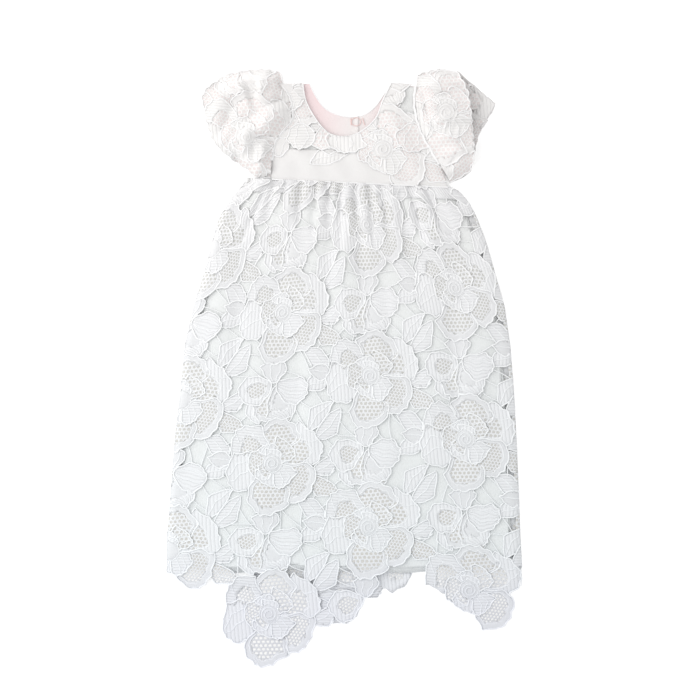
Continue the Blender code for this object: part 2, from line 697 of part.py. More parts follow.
def main():
    """Makes every piece of the gown."""
    for piece in list(bpy.data.objects):
        bpy.data.objects.remove(piece)
    lace = cloth("cotton_guipure", (0.86, 0.86, 0.87), 0.85)
    satin = cloth("white_satin", (0.80, 0.81, 0.83), 0.45)
    pink = cloth("pale_pink_satin", (0.86, 0.66, 0.66), 0.45)

    def raised(hearts):
        """Thickness of the front lace, with hearts and petals standing up from a plain back."""
        def thick(x, y):
            rise = np.zeros(np.shape(x))
            for hx, hy in hearts:
                rise = np.maximum(rise, CORE_RISE * (np.hypot(x - hx, y - hy) < 0.7 * HEART))
            return LACE + rise
        return thick

    # Skirt back
    grid = Grid(-222.0, -366.0, 222.0, 236.0, 1.0)
    shapes = lace_shapes(-340.0, WAIST_Y, BACK_SHIFT)[0]
    cover = joined(grid, skirt_cover(grid, shapes, BACK_HEM))
    edge = snapped(thin_ring(grid.border(cover), EDGE_TOLERANCE))
    gaps = gaps_of(grid, cover, BACK_GAP_LEAST, 60)
    wall("skirt_lace_back", [edge] + gaps, [], flat(BACK_LACE_Z), flat(LACE), lace)

    # Skirt linings
    beds = []
    for name, inset, hem, under, inner in (
        ("skirt_lining_front", LINING_INSET, LINING_HEM_Y, satin_under, skirt_lattice()),
        ("skirt_lining_back", 0.8 * LINING_INSET, LINING_HEM_Y - 6.0, flat(BACK_SATIN_Z), []),
    ):
        drops = [2.0] + [row[0] for row in SKIRT_SIDES[1:] if WAIST_Y - row[0] > hem + 8.0]
        ys = [WAIST_Y - d for d in drops] + [hem]
        left = [(float(skirt_edges(y)[0]) + inset, y) for y in ys]
        right = [(float(skirt_edges(y)[1]) - inset, y) for y in ys]
        left[0] = (left[0][0], float(waist(left[0][0])) - SEAM)
        right[0] = (right[0][0], float(waist(right[0][0])) - SEAM)
        ring = along_waist(np.array(left + right[::-1]))
        beds.append(wall(name, [divided(ring, 16.0)], inner, under, flat(SATIN), satin))

    # Skirt front
    shapes, hearts = lace_shapes(-340.0, WAIST_Y)
    cover = joined(grid, skirt_cover(grid, shapes, HEM))
    edge = snapped(thin_ring(grid.border(cover), EDGE_TOLERANCE))
    gaps = gaps_of(grid, cover, GAP_LEAST, 70)
    placed = [(float(from_cloth(u, v)), v) for u, v in hearts]
    placed = [h for h in placed if 20.0 < from_side(*h) and h[1] < WAIST_Y - 20.0]
    points = skirt_lattice() + rim_lattice()
    crowns = []
    for hx, hy in placed:
        points = [p for p in points if math.hypot(p[0] - hx, p[1] - hy) > 1.35 * HEART]
        for radius, count in ((HEART, 8), (0.66 * HEART, 6)):
            turns = np.linspace(0.0, 2.0 * math.pi, count, endpoint=False)
            crowns += [(hx + radius * math.cos(a), hy + radius * math.sin(a)) for a in turns]
        crowns.append((hx, hy))
    wall("skirt_lace_front", [edge] + gaps, points + crowns, lace_under, raised(placed), lace, beds)

    # Bodice
    grid = Grid(-200.0, 205.0, 200.0, 375.0, 1.0)
    shapes = lace_shapes(WAIST_Y, 350.0, BODICE_SHIFT)[0]
    px, py = np.meshgrid(grid.x, grid.y)

    def upper_gaps(ring, most):
        """Gaps of the lace inside one of the upper pieces."""
        cover = ~inside(moved_in(ring, 6.0), px, py)
        for shape in shapes:
            cover |= grid.fill(shape)
        return gaps_of(grid, cover, GAP_LEAST, most)

    front = bodice_ring(FRONT_NECK)
    inner = lattice(front, 12.0)
    lining = divided(moved_in(front, 4.0), 14.0)
    bed = wall("bodice_lining_front", [lining], inner,
               lambda x, y: FRONT_SATIN_Z + bodice_rise(x, y), flat(SATIN), satin)
    wall("bodice_lace_front", [divided(front, 14.0)] + upper_gaps(front, 14), inner,
         lambda x, y: FRONT_LACE_Z + bodice_rise(x, y, 1.2), flat(LACE), lace, [bed])
    back = bodice_ring(BACK_NECK)
    for side, name in ((-1.0, "left"), (1.0, "right")):
        half = cut_at(back, BACK_OPENING_X + 0.5 * side * SEAM, side)
        wall("bodice_lace_back_" + name, [half], [], flat(BACK_LACE_Z), flat(LACE), lace)
        wall("bodice_lining_back_" + name, [moved_in(half, 1.0)], [], flat(BACK_SATIN_Z), flat(SATIN), pink)
    half_wide, long = TAB
    top = 300.0
    tab = np.array([(BACK_OPENING_X + a * half_wide, top - b * long) for a, b in
                    ((-1.0, 0.0), (-0.9, 0.7), (-0.4, 1.0), (0.4, 1.0), (0.9, 0.7), (1.0, 0.0))])
    wall("back_loop", [tab, moved_in(tab, 2.4)], [], flat(FRONT_SATIN_Z), flat(SATIN), pink)

    # Sleeves
    left_arm = [(x - 0.4, y) for x, y in LEFT_ARMHOLE]
    right_arm = [(x + 0.4, y) for x, y in RIGHT_ARMHOLE]
    left_ring = np.array([row[:2] for row in LEFT_SLEEVE] + left_arm[::-1])
    right_front = np.array([row[:2] for row in RIGHT_SLEEVE_FRONT] + right_arm[::-1])
    right_back = np.array(list(RIGHT_SLEEVE_BACK) + right_arm[::-1])
    shapes = lace_shapes(WAIST_Y, 350.0, SLEEVE_SHIFT)[0]
    left_under = sleeve_under(LEFT_SLEEVE, LEFT_ARMHOLE, LEFT_LOBES)
    right_under = sleeve_under(RIGHT_SLEEVE_FRONT, RIGHT_ARMHOLE, RIGHT_LOBES)
    for name, ring, under, pitch, thick in (
        ("sleeve_left_front", left_ring, left_under, 7.5, 1.4 * LACE),
        ("sleeve_left_back", left_ring, flat(BACK_LACE_Z), 0.0, LACE),
        ("sleeve_right_front", right_front, right_under, 8.0, 1.4 * LACE),
        ("sleeve_right_back", right_back, flat(BACK_LACE_Z), 0.0, LACE),
    ):
        inner = lattice(ring, pitch) if pitch else []
        ring = divided(ring, pitch or 12.0)
        wall(name, [ring] + upper_gaps(ring, 8), inner, under, flat(thick), lace)
    for piece in bpy.data.objects:
        for vertex in piece.data.vertices:
            vertex.co.x -= MIDDLE[0] * MM
            vertex.co.y -= MIDDLE[1] * MM


def snapped(ring):
    """The skirt's ring with its points near the waist and the sides put exactly on them."""
    ring = ring.copy()
    left, right = skirt_edges(ring[:, 1])
    for k, (x, y) in enumerate(ring):
        if abs(y - waist(x)) < 1.6:
            ring[k, 1] = waist(x) - SEAM
        if abs(x - left[k]) < 1.2:
            ring[k, 0] = left[k]
        if abs(x - right[k]) < 1.2:
            ring[k, 0] = right[k]
    return along_waist(ring)


def along_waist(ring):
    """The ring with a point every few millimetres on its edge at the waist."""
    points = []
    for a, b in zip(ring, np.roll(ring, -1, 0)):
        points.append(a)
        if max(abs(a[1] - waist(a[0])), abs(b[1] - waist(b[0]))) < 2.0 * SEAM:
            spots = WAIST_PITCH * np.arange(-20, 21)
            between = spots[(spots > min(a[0], b[0]) + 2.5) & (spots < max(a[0], b[0]) - 2.5)]
            if b[0] < a[0]:
                between = between[::-1]
            points += [(x, float(waist(x)) - SEAM) for x in between]
    return np.array(points)


def cut_at(ring, x, side):
    """The part of a ring on one side of an upright line."""
    points = []
    for a, b in zip(ring, np.roll(ring, -1, 0)):
        if side * (a[0] - x) >= 0.0:
            points.append(a)
        if (a[0] - x) * (b[0] - x) < 0.0:
            points.append(a + (b - a) * (x - a[0]) / (b[0] - a[0]))
    return np.array(points)


main()
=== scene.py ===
"""A white guipure christening gown over satin, laid flat on its back.

Shapes are worked out in millimetres and put into metres by place().
"""
import math
from functools import partial

import bmesh
import bpy
import numpy as np
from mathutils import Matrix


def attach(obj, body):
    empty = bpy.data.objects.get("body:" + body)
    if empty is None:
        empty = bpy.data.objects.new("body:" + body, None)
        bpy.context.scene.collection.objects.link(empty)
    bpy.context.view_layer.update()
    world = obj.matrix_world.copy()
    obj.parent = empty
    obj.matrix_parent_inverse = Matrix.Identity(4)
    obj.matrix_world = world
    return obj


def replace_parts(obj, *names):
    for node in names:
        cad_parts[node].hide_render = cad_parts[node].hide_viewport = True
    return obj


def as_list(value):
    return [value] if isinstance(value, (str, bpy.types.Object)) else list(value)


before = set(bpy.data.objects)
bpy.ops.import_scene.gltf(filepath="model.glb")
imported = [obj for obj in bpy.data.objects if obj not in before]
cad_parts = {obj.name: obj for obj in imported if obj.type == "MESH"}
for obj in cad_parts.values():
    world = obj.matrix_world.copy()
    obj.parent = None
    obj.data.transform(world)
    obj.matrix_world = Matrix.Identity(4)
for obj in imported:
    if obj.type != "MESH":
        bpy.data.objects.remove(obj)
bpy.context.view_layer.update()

# Cloth and heights, as in the solids
LACE = 1.2
SEAM = 0.3
SATIN = 1.0
BACK_SATIN_Z = LACE + SEAM
FRONT_SATIN_Z = BACK_SATIN_Z + SATIN + SEAM
FRONT_LACE_Z = FRONT_SATIN_Z + SATIN + SEAM
FRONT_EDGE_Z = LACE + SEAM
MIDDLE = (-0.1, -0.6)

WAIST_Y = 221.5
WAIST_X = 18.0          # where the seam is at that height
WAIST_SLOPE = -0.0455
WAIST_LEFT = -87.0
WAIST_RIGHT = 124.0
LINING_HEM_Y = -238.0
LINING_INSET = 14.0
HEM_WAVE = 2.4          # how far a lining's hem strays up and down
HEM_FALL = (-252.0, -272.0)

SKIRT_SIDES = (
    # down, left, right
    (0, -112, 124), (4, -121.8, 132.6), (13, -131.4, 140.6), (23, -138.4, 149.4),
    (42, -151, 159), (71, -159, 170), (109, -168.6, 181), (148, -181, 192),
    (196, -192, 199), (253, -197, 203.4), (301, -203.4, 206), (378, -209.4, 209.4),
    (426, -213, 211), (470, -213.5, 213.5), (590, -213.5, 213.5),
)
HEM = (
    # across, lowest
    (-214, -244), (-196, -250), (-172, -268), (-158, -285), (-146, -318),
    (-126, -358), (-92, -358), (-58, -350), (-40, -316), (-8, -306),
    (16, -296), (30, -272), (70, -264), (100, -252), (118, -262),
    (126, -306), (146, -322), (176, -318), (200, -312), (208, -284),
    (214, -244),
)
BACK_HEM = (
    # across, lowest
    (-214, -256), (-160, -262), (-120, -290), (-40, -300), (0, -312),
    (17, -306), (23, -272), (120, -262), (170, -280), (214, -256),
)
BACK_SHIFT = (58.0, 34.0)
BODICE_SHIFT = (16.0, 90.0)
SLEEVE_SHIFT = (-28.0, 28.0)
LEFT_ARMHOLE = (
    # x, y
    (-74, 337.5), (-66, 324), (-62.5, 310), (-63.5, 296), (-74, 283), (-84, 268),
    (-87, 248),
)
RIGHT_ARMHOLE = (
    # x, y
    (86, 337), (84, 322), (86, 302), (92, 282), (103, 262), (114, 243),
)
FRONT_NECK = (
    # x, y
    (-50, 341), (-46.5, 320), (-35, 298.5), (-22, 283), (-8, 277), (8, 277.5),
    (26, 287), (39, 301), (46, 320), (56, 341),
)
BACK_NECK = (
    # x, y
    (-42, 341), (-34, 325), (-21, 309), (0, 301), (21, 302), (36, 312),
    (47, 327), (56, 341),
)
BACK_OPENING_X = 14.0
CROWN = 3.0
LEFT_SLEEVE = (
    # x, y, edge
    (-74.6, 343, "fold"), (-76, 353, "fold"), (-96, 357.5, "fold"), (-118, 356, "fold"),
    (-141, 351, "fold"), (-153, 343, "fold"), (-164, 334, "cuff"), (-170.5, 323, "cuff"),
    (-167, 308, "cuff"), (-163, 290, "cuff"), (-157, 272, "cuff"), (-145, 257, "cuff"),
    (-129, 246, "fold"), (-114, 237, "fold"), (-108, 229.5, "fold"), (-88, 227.5, "arm"),
)
RIGHT_SLEEVE_FRONT = (
    # x, y, edge
    (86.6, 343, "fold"), (88, 351, "fold"), (112, 357.5, "fold"), (135, 354, "fold"),
    (146.5, 330, "cuff"), (150.5, 306, "cuff"), (152.5, 280, "cuff"), (154.5, 250, "cuff"),
    (150, 236, "fold"), (138, 228, "fold"), (126.5, 222, "arm"),
)
RIGHT_SLEEVE_BACK = (
    # x, y
    (86.6, 343), (88, 351), (112, 357.5), (137, 355), (149, 343), (165, 329),
    (181, 317), (176, 304), (171, 295), (162, 284), (157.5, 268), (155, 248),
    (150.5, 234.5), (138.5, 226.5), (126.5, 221.5),
)
LEFT_LOBES = (
    # x, y, half length, half width, turn, height
    (-91, 336, 19, 13, 80, 11), (-89, 296, 24, 13, 40, 12),
    (-116, 276, 22, 12, 30, 8), (-126, 334, 20, 12, 10, 7),
    (-150, 308, 20, 11, 75, 6), (-122, 306, 18, 10, 20, 5),
    (-100, 256, 22, 9, 60, 4), (-140, 276, 16, 8, 45, 4),
)
RIGHT_LOBES = (
    # x, y, half length, half width, turn, height
    (112, 338, 26, 8, -5, 6), (118, 316, 28, 7, -2, 4),
    (122, 296, 26, 7, 6, 5), (128, 276, 24, 7, 10, 4),
    (134, 258, 20, 7, 14, 5),
)
ARM_RISE = 5.0
PUFF = 13.0
SLEEVE_DROP = 0.6       # how far the sleeve's edge comes down again at the armhole
SLEEVE_GATHER = 0.9     # height of the small gathers there
SCALLOP = 2.6           # depth of the scallops round a sleeve
SCALLOP_PITCH = 11.0
FOLDS = (
    # x at waist, x at foot, length, half width, height
    (-96, -128, 96, 11, 5), (-78, -92, 60, 8, 4.2), (-62, -72, 130, 9, 5.4),
    (-44, -48, 74, 7.5, 4), (-29, -34, 104, 8, 5.2), (-12, -14, 70, 8, 4.6),
    (4, 0, 150, 9, 5.6), (22, 26, 118, 8, 4.8), (39, 48, 72, 8, 4.2),
    (56, 70, 110, 9, 5), (74, 96, 84, 9, 4.4), (92, 124, 130, 10, 5.2),
    (110, 148, 70, 9, 4.4),
)
WAVES = (
    # x, y, half width, half length, height
    (-150, 30, 22, 150, 2.2), (-100, -60, 20, 130, 2), (-40, 20, 20, 140, 1.8),
    (0, 40, 18, 120, 2.4), (50, -40, 22, 130, 1.8), (105, 10, 20, 150, 2.2),
    (160, -20, 20, 150, 2),
)
# Small creases that the solids leave out, in the lace and the lining
CREASES = (
    # x, y, half length, half width, turn, height
    (-88, 203, 30, 3.4, 76, -4.6), (-54, 203, 29, 3, 84, -4.4),
    (-36, 194, 36, 3, 86, -4), (-20, 202, 26, 2.8, 90, -4.4),
    (-5, 188, 42, 3.4, 90, -4.6), (13, 203, 26, 2.8, 92, -4),
    (31, 194, 36, 3, 94, -4.4), (64, 208, 26, 3, 8, -2.8),
    (48, 186, 38, 2.8, 100, -3.4), (84, 190, 36, 3.2, 104, -4.2),
    (104, 196, 28, 3.2, 112, -4.4), (-108, 186, 34, 3.4, 66, -4),
    (-70, 150, 50, 6, 80, -2.2), (20, 140, 56, 6, 92, -2.2),
    (76, 150, 50, 6, 104, -2.2), (-20, 110, 56, 7, 88, -1.8),
    (-128, 60, 60, 8, 84, -1.7), (54, 40, 66, 8, 96, -1.6),
    (-58, -40, 60, 9, 86, -1.6), (132, 10, 62, 8, 92, -1.8),
    (8, -110, 52, 8, 94, -1.5),
)
LEFT_CREASES = (
    # x, y, half length, half width, turn, height
    (-101, 338, 17, 3.2, 92, 3.2), (-89, 341, 16, 3.6, 80, -3.6),
    (-97, 276, 15, 3.8, 8, -4.6), (-98, 252, 22, 3.6, 84, 3.2),
    (-109, 257, 20, 3.2, 92, -3.4), (-119, 268, 18, 2.8, 78, 2),
    (-122, 331, 21, 2.8, 112, 2.4), (-113, 327, 17, 3, 108, -2.6),
    (-82, 318, 13, 2.8, 20, -2.8), (-140, 296, 20, 3.2, 60, -1.8),
    (-148, 322, 18, 3.2, 130, 1.5), (-132, 262, 16, 3, 35, -1.5),
)
RIGHT_CREASES = (
    # x, y, half length, half width, turn, height
    (104, 343, 13, 2.8, 24, -2.8), (124, 345, 15, 2.6, 24, -2.4),
    (111, 292, 17, 2, 67, 1.2), (117.5, 294, 19, 2, 66, 1.3),
    (124, 295, 21, 2, 68, 1.5), (130.5, 293, 19, 2, 70, 1.3),
    (137, 288, 22, 2, 74, 1.2), (143.5, 280, 24, 2, 80, 1),
    (96, 318, 16, 3, 100, -2.6), (112, 258, 16, 3.2, 150, -2.8),
    (128, 244, 14, 2.8, 60, -2.4), (100, 290, 18, 2.8, 112, 2.2),
)

# Petals that lap over the middle of the bodice, and stand off it
BODICE_LAP = (
    # x, y, turn, length, width, fill
    (-52, 292, 268, 30, 34, "cross"), (-26, 288, 282, 27, 30, "net"),
    (84, 292, 258, 34, 36, "net"), (2, 290, 266, 33, 42, "rib"),
)

# The lace repeat
ROSE_PITCH = (120.0, 181.0)
ROSE_DROP = 76.0
ROSE_START = (-210.0, 142.0)
HEART = 12.0
PETAL_SIDES = (
    # along, half width
    (0.00, 0.10), (0.16, 0.30), (0.40, 0.47), (0.66, 0.50), (0.86, 0.40), (0.96, 0.20),
)
LEAF_SIDES = (
    # along, half width
    (0.00, 0.06), (0.18, 0.30), (0.42, 0.46), (0.66, 0.36), (0.86, 0.15),
)
ROSE = (
    # starts at, turn, length, width, bow, fill, inner fill
    (8, 20, 56, 52, 0.10, "rib", "net"), (8, 82, 47, 46, -0.10, "net", ""),
    (8, 140, 52, 48, 0.12, "cross", "mesh"), (9, 200, 49, 48, -0.08, "rib", ""),
    (9, 318, 50, 48, 0.10, "mesh", "rib"), (9, 262, 54, 46, 0.05, "net", ""),
)
ROSE_INSIDE = (
    # starts at, turn, length, width, bow, fill, inner fill
    (4, 30, 27, 30, 0.3, "net", ""), (4, 102, 20, 26, 0.3, "rib", ""),
    (4, 160, 26, 27, 0.3, "mesh", ""), (4, 228, 21, 30, 0.3, "rib", ""),
    (4, 296, 28, 26, 0.3, "cross", ""), (2, 62, 15, 20, 0.35, "rib", ""),
    (2, 205, 16, 19, 0.35, "net", ""),
)
BUD = (
    # starts at, turn, length, width, bow, fill, inner fill
    (4, 250, 42, 36, 0.10, "net", ""), (4, 300, 42, 36, -0.10, "fan", "satin"),
    (4, 192, 42, 34, 0.10, "rib", "mesh"), (4, 350, 40, 34, -0.10, "fan", ""),
    (2, 92, 28, 28, 0.00, "satin", ""),
)
BUD_PLACE = (-4.0, -86.0)
LEAVES = (
    # x, y, turn, length, width, fill
    (34, -44, 318, 48, 25, "cross"), (-38, 40, 148, 46, 24, "mesh"),
    (44, 40, 50, 46, 23, "rib"), (-38, -40, 228, 52, 25, "cross"),
    (34, -92, 14, 46, 22, "rib"), (-50, 4, 172, 30, 22, "satin"),
    (-38, -98, 204, 40, 22, "cross"), (12, 46, 74, 38, 24, "mesh"),
    (52, -6, 352, 26, 20, "satin"), (-20, 48, 112, 34, 19, "rib"),
)
METRES = 0.001          # in a millimetre
HALF_SKIRT = SKIRT_SIDES[-1][2]     # half the width of the cloth before it is gathered
SKIRT_FOOT = -340.0
SIDES_END = -250.0      # where the lace's sides go over into its hem
PETAL_PAST_HEM = 6.0    # how far a petal may hang past the line of its hem
LACE_PAST_HEM = 8.0     # and where the cloth under it is cut at last
SHOULDER_Y = 350.0
SQUARE = 1.414          # a net on the slant, against one that lies straight
FILLS = {
    # stitch: pitch, which of a piece's three materials
    "fan": (4.6, 0), "rib": (4.6, 0), "cross": (3.4, 0),
    "net": (5.4, 1), "mesh": (SQUARE * 4.2, 1), "satin": (1.1, 2),
}
HEART_SIDES = (
    # along, half width
    (0.02, 0.14), (0.15, 0.36), (0.40, 0.49), (0.62, 0.49), (0.85, 0.36), (0.97, 0.17),
)
RING_STEPS = 4          # points of an outline between two of its table's
RIPPLE = 0.07           # how far an outline wavers, of its half width
SAME_PLACE = 2e-7       # metres between two points that count as one
THREAD = 0.3            # thickness of a patch between its cords
LINING_THICK = 0.5
INNER_SIZE = 0.62       # of the contour inside a petal
NET_SIZE = 0.8          # of a net inside its stitched margin
NET_LEAST = 30.0        # length of a petal that has such a margin
BAND_HEIGHT = 17.0      # of the plain waistband below the bodice's petals
STEP = 0.03             # each level of the layered shapes lies this much over the one below
BUD_LEVEL, ROSE_LEVEL, INSIDE_LEVEL, HEART_LEVEL, LAP_LEVEL = 6, 16, 28, 38, 45
DOMES = {"outer": 0.45, "inner": 0.45, "heart": 1.2, "band": 0.0}
CURL = 1.7              # most that a petal's tip turns up
CORD = 0.85             # radius of the cord round a shape
FINE_CORD = 0.5         # of the contours inside it
BAR = 0.6               # of the bars across a gap
SEWN = 0.9              # and of the cords along the seams
GAP_LEAST = 70          # square millimetres of a gap that has bars
BACK_LACE_Z = 0.6
FLAT_LIFT = 0.08        # share of its relief that the lace below keeps
FLAT_CORD = 0.35        # and of its cords' thickness
MIDDLE_OF_LACE = 0.3 * LACE
LAP = 3.5               # how far the left half of the back laps over the right
ARMHOLE_LAP = 2.6       # how far the bodice's lace runs on under the sleeves
HOLE = 0.33             # half width of a net's hole, of its pitch
ROWS_TO_HOLES = 1.2     # rows of a net's holes to as many holes in a row
PAINTED_GROUND_THREADS = 0.7    # share of a net's hole that its finest threads close, coloured with the painted shade of the cloth behind it
PAINTED_HEM_THREADS = 0.75      # the same below the lining, where they are painted white for the lit floor seen through
# Painted colours for the closed part of a net's holes: the shade of the lining behind, and below the lining the
# white of the lit floor
PAINTED_SHADE_BEHIND = (0.78, 0.775, 0.745)
PAINTED_FLOOR_WHITE = (1.0, 1.0, 1.0)
PAINTED_HEM_NET_SHADE = 0.86          # how much darker the painted fall-off of light makes the net's threads at the hem, against the rest of the lace
LINED_FROM, LINED_OVER = -0.256, 0.02       # where the lining begins behind a net, in metres
GOWN_LENGTH = 0.72      # in metres, over which the painted light tints run
# Painted light fall-off: the cloth is painted a little warmer at the top and darker and cooler towards the hem
PAINTED_LIGHT_TINTS = (
    # how far down, colour
    (0, (1, 0.99, 0.985)), (0.25, (1, 1, 1)), (0.8, (0.955, 0.985, 1)), (0.9, (0.925, 0.945, 0.99)),
)


def soft(t):
    """Goes smoothly from 0 to 1 as t does."""
    t = np.clip(t, 0.0, 1.0)
    return t * t * (3.0 - 2.0 * t)


def joined(*columns):
    """Points from their coordinates, any of which may be one value for all."""
    return np.stack(np.broadcast_arrays(*columns), -1)


def turned(x, y, turn):
    """x and y after a turn in degrees."""
    c, s = math.cos(math.radians(turn)), math.sin(math.radians(turn))
    return x * c - y * s, x * s + y * c


def waist(x):
    """Height of the waist seam."""
    return WAIST_Y + WAIST_SLOPE * (np.asarray(x, float) - WAIST_X)


def skirt_edges(y):
    """Left and right edge of the skirt at a height."""
    down, left, right = np.transpose(SKIRT_SIDES)
    return np.interp(WAIST_Y - y, down, left), np.interp(WAIST_Y - y, down, right)


def on_skirt(points):
    """Takes points of the flat cloth to the gathered skirt."""
    left, right = skirt_edges(points[:, 1])
    return joined((left + right) / 2.0 + points[:, 0] * (right - left) / (2.0 * HALF_SKIRT), points[:, 1])


def spread(row, x, y):
    """Place along and across a row of a table, counted in its half lengths and half widths."""
    along, across = turned(x - row[0], y - row[1], -row[4])
    return along / row[2], across / row[3]


def bumps(table, x, y):
    """Sum of the long soft troughs and ridges of a table."""
    rise = 0.0 * x
    for row in table:
        a, b = spread(row, x, y)
        rise = rise + row[5] * np.exp(-a ** 4 - b * b)
    return rise


def lobes(table, x, y):
    """Highest of the lobes of a table."""
    rise = 0.0 * x
    for row in table:
        a, b = spread(row, x, y)
        rise = np.maximum(rise, row[5] * np.exp(-a * a - b * b))
    return rise


def folds(x, y):
    """Height of the gathers and broad waves above the lying cloth."""
    down = np.maximum(waist(x) - y, 0.0)
    rise = 0.0 * x
    for x0, x1, length, half, height in FOLDS:
        t = down / length
        middle = x0 + (x1 - x0) * t
        width = half * (1.0 + 0.6 * t)
        fade = soft(1.0 - t) * (0.35 + 0.65 * soft(down / 14.0))
        rise = np.maximum(rise, height * fade * np.exp(-((x - middle) / width) ** 2))
    for x0, y0, half, length, height in WAVES:
        rise = rise + height * np.exp(-((x - x0) / half) ** 2 - ((y - y0) / length) ** 4)
    return rise


def from_side(x, y):
    """How far a point lies inside the skirt's nearer side."""
    left, right = skirt_edges(y)
    return np.minimum(x - left, right - x)


def nearest(ring, x, y, closed=True):
    """Distance from each point to the ring, and the nearest point of it."""
    best = np.full(np.shape(x), np.inf)
    bx, by = np.array(x, float), np.array(y, float)
    ends = np.roll(ring, -1, 0) if closed else ring[1:]
    for (x0, y0), (x1, y1) in zip(ring, ends):
        span = max((x1 - x0) ** 2 + (y1 - y0) ** 2, 1e-9)
        t = np.clip(((x - x0) * (x1 - x0) + (y - y0) * (y1 - y0)) / span, 0.0, 1.0)
        px, py = x0 + t * (x1 - x0), y0 + t * (y1 - y0)
        off = np.hypot(x - px, y - py)
        closer = off < best
        best = np.where(closer, off, best)
        bx, by = np.where(closer, px, bx), np.where(closer, py, by)
    return best, bx, by


def inside(ring, px, py):
    """True where the point is inside the ring."""
    hit = np.zeros(np.shape(px), bool)
    for (x0, y0), (x1, y1) in zip(ring, np.roll(ring, -1, 0)):
        if y0 != y1:
            over = (y0 > py) != (y1 > py)
            hit ^= over & (px < x0 + (py - y0) * (x1 - x0) / (y1 - y0))
    return hit


def smooth_ring(points, corners):
    """Runs a closed smooth curve through the points, sharp at the corners."""
    count = len(points)
    ring = []
    for i in range(count):
        a, b, c, d = (np.array(points[(i + k) % count], float) for k in (-1, 0, 1, 2))
        if i in corners:
            a = b
        if (i + 1) % count in corners:
            d = c
        for s in range(RING_STEPS):
            t = s / RING_STEPS
            pull = (c - a) * t + (2.0 * a - 5.0 * b + 4.0 * c - d) * t * t
            ring.append(0.5 * (2.0 * b + pull + (3.0 * b - a - 3.0 * c + d) * t ** 3))
    return np.array(ring)


def smooth_line(points):
    """Runs an open smooth curve through the points."""
    last = len(points) - 1
    return smooth_ring(points, {0, last})[:RING_STEPS * last + 1]


def petal(x, y, turn, length, width, bow, sides, start, vary, fill, level, size=1.0, part="outer"):
    """A petal or leaf that grows from x, y, or the smaller contour inside one."""
    left = [(a, w * (1.0 + 0.12 * math.sin(vary * 1.7 + 5.0 * a))) for a, w in sides]
    right = [(a, -w * (1.0 + 0.12 * math.cos(vary * 2.3 + 4.0 * a))) for a, w in sides]
    tip = (1.0 + 0.03 * math.sin(vary * 3.0), 0.06 * math.sin(vary * 5.0))
    corners = {len(left)}
    if sides is PETAL_SIDES:
        corners |= {3, 2 * len(left) - 3}
        for side in (left, right):
            side[3] = (side[3][0], 1.1 * side[3][1])
            side[4] = (side[4][0], 0.9 * side[4][1])
    begin = start + (1.0 - size) * 0.35 * length
    bent = [(begin + a * length * size, w * width * size + bow * length * math.sin(math.pi * a))
            for a, w in left + [tip] + right[::-1]]
    u, v = smooth_ring(bent, corners).T
    step = np.arange(len(u))
    v = v * (1.0 + RIPPLE * np.sin(0.95 * step + vary))
    u = u + 0.3 * RIPPLE * length * np.sin(1.25 * step + 2.0 * vary) * np.sin(math.pi * step / len(u))
    ring = joined(*turned(u, v, turn)) + (x, y)
    tip_at = RING_STEPS * len(left)
    return Shape(ring[:tip_at + 1], ring[tip_at:2 * tip_at + 1][::-1], ring, fill, level, vary, part)


def strip(left, right, fill):
    """A band of plain lace between two lines, under all the petals."""
    return Shape(left, right, np.concatenate([left, right[::-1]]), fill, part="band")


class Shape:
    """One petal, leaf or disc of the lace: its outline, its two sides and how it is filled."""

    def __init__(self, left, right, ring, fill, level=0, vary=0.0, part="outer"):
        self.left, self.right, self.ring = left, right, ring
        self.length = np.hypot(*np.diff((left + right) / 2.0, axis=0).T).sum()
        self.width = np.hypot(*(left - right).T).max()
        self.fill, self.level, self.vary, self.part = fill, level, vary, part
        count = len(left) - 1
        self.along = np.clip(1.0 - np.abs(np.arange(len(ring)) / count - 1.0), 0.0, 1.0)

    def at(self, s, t):
        """The point at s along the shape, from 0 to 1, and t across it, from -1 to 1."""
        places = np.linspace(0.0, 1.0, len(self.left))
        left, right = ([np.interp(s, places, side[:, k]) for k in (0, 1)] for side in (self.left, self.right))
        return [(a * (1 + t) + b * (1 - t)) / 2.0 for a, b in zip(left, right)]

    def stand(self, s, t):
        """How far the shape stands above the ground there: its level, its dome and its tip's turn."""
        rise = STEP * self.level + DOMES[self.part] * (1.0 - t ** 2) * np.sin(math.pi * np.clip(s, 0.02, 1.0))
        if self.part == "outer":
            rise = rise + CURL * s ** 3 * (0.5 + 0.5 * math.sin(self.vary * 7.0))
        return rise

    def threads(self, x, y, s, t):
        """Coordinates that count ribs or meshes, mostly along the grain of the flat cloth."""
        pitch = FILLS[self.fill][0]
        if self.fill == "fan":
            return t * self.width / 2.0 / pitch, s * self.length / pitch
        lean = 0.12 * math.sin(2.1 * self.level)
        u, v = x + lean * y, y - lean * x
        if self.fill == "mesh":
            return (u + v) / pitch, (u - v) / pitch
        return (u / pitch, v / pitch) if self.fill in ("rib", "net") else (v / pitch, u / pitch)


def repeats(low, high, shift=(0.0, 0.0)):
    """Middles of the roses of every repeat between two heights."""
    for column in range(-1, 5):
        u = ROSE_START[0] + column * ROSE_PITCH[0] + shift[0]
        top = ROSE_START[1] - column * ROSE_DROP + shift[1]
        first = -math.floor((high + ROSE_PITCH[1] - top) / ROSE_PITCH[1])
        for row in range(first, first + 6):
            v = top - row * ROSE_PITCH[1]
            if low - ROSE_PITCH[1] <= v <= high + ROSE_PITCH[1]:
                yield u, v


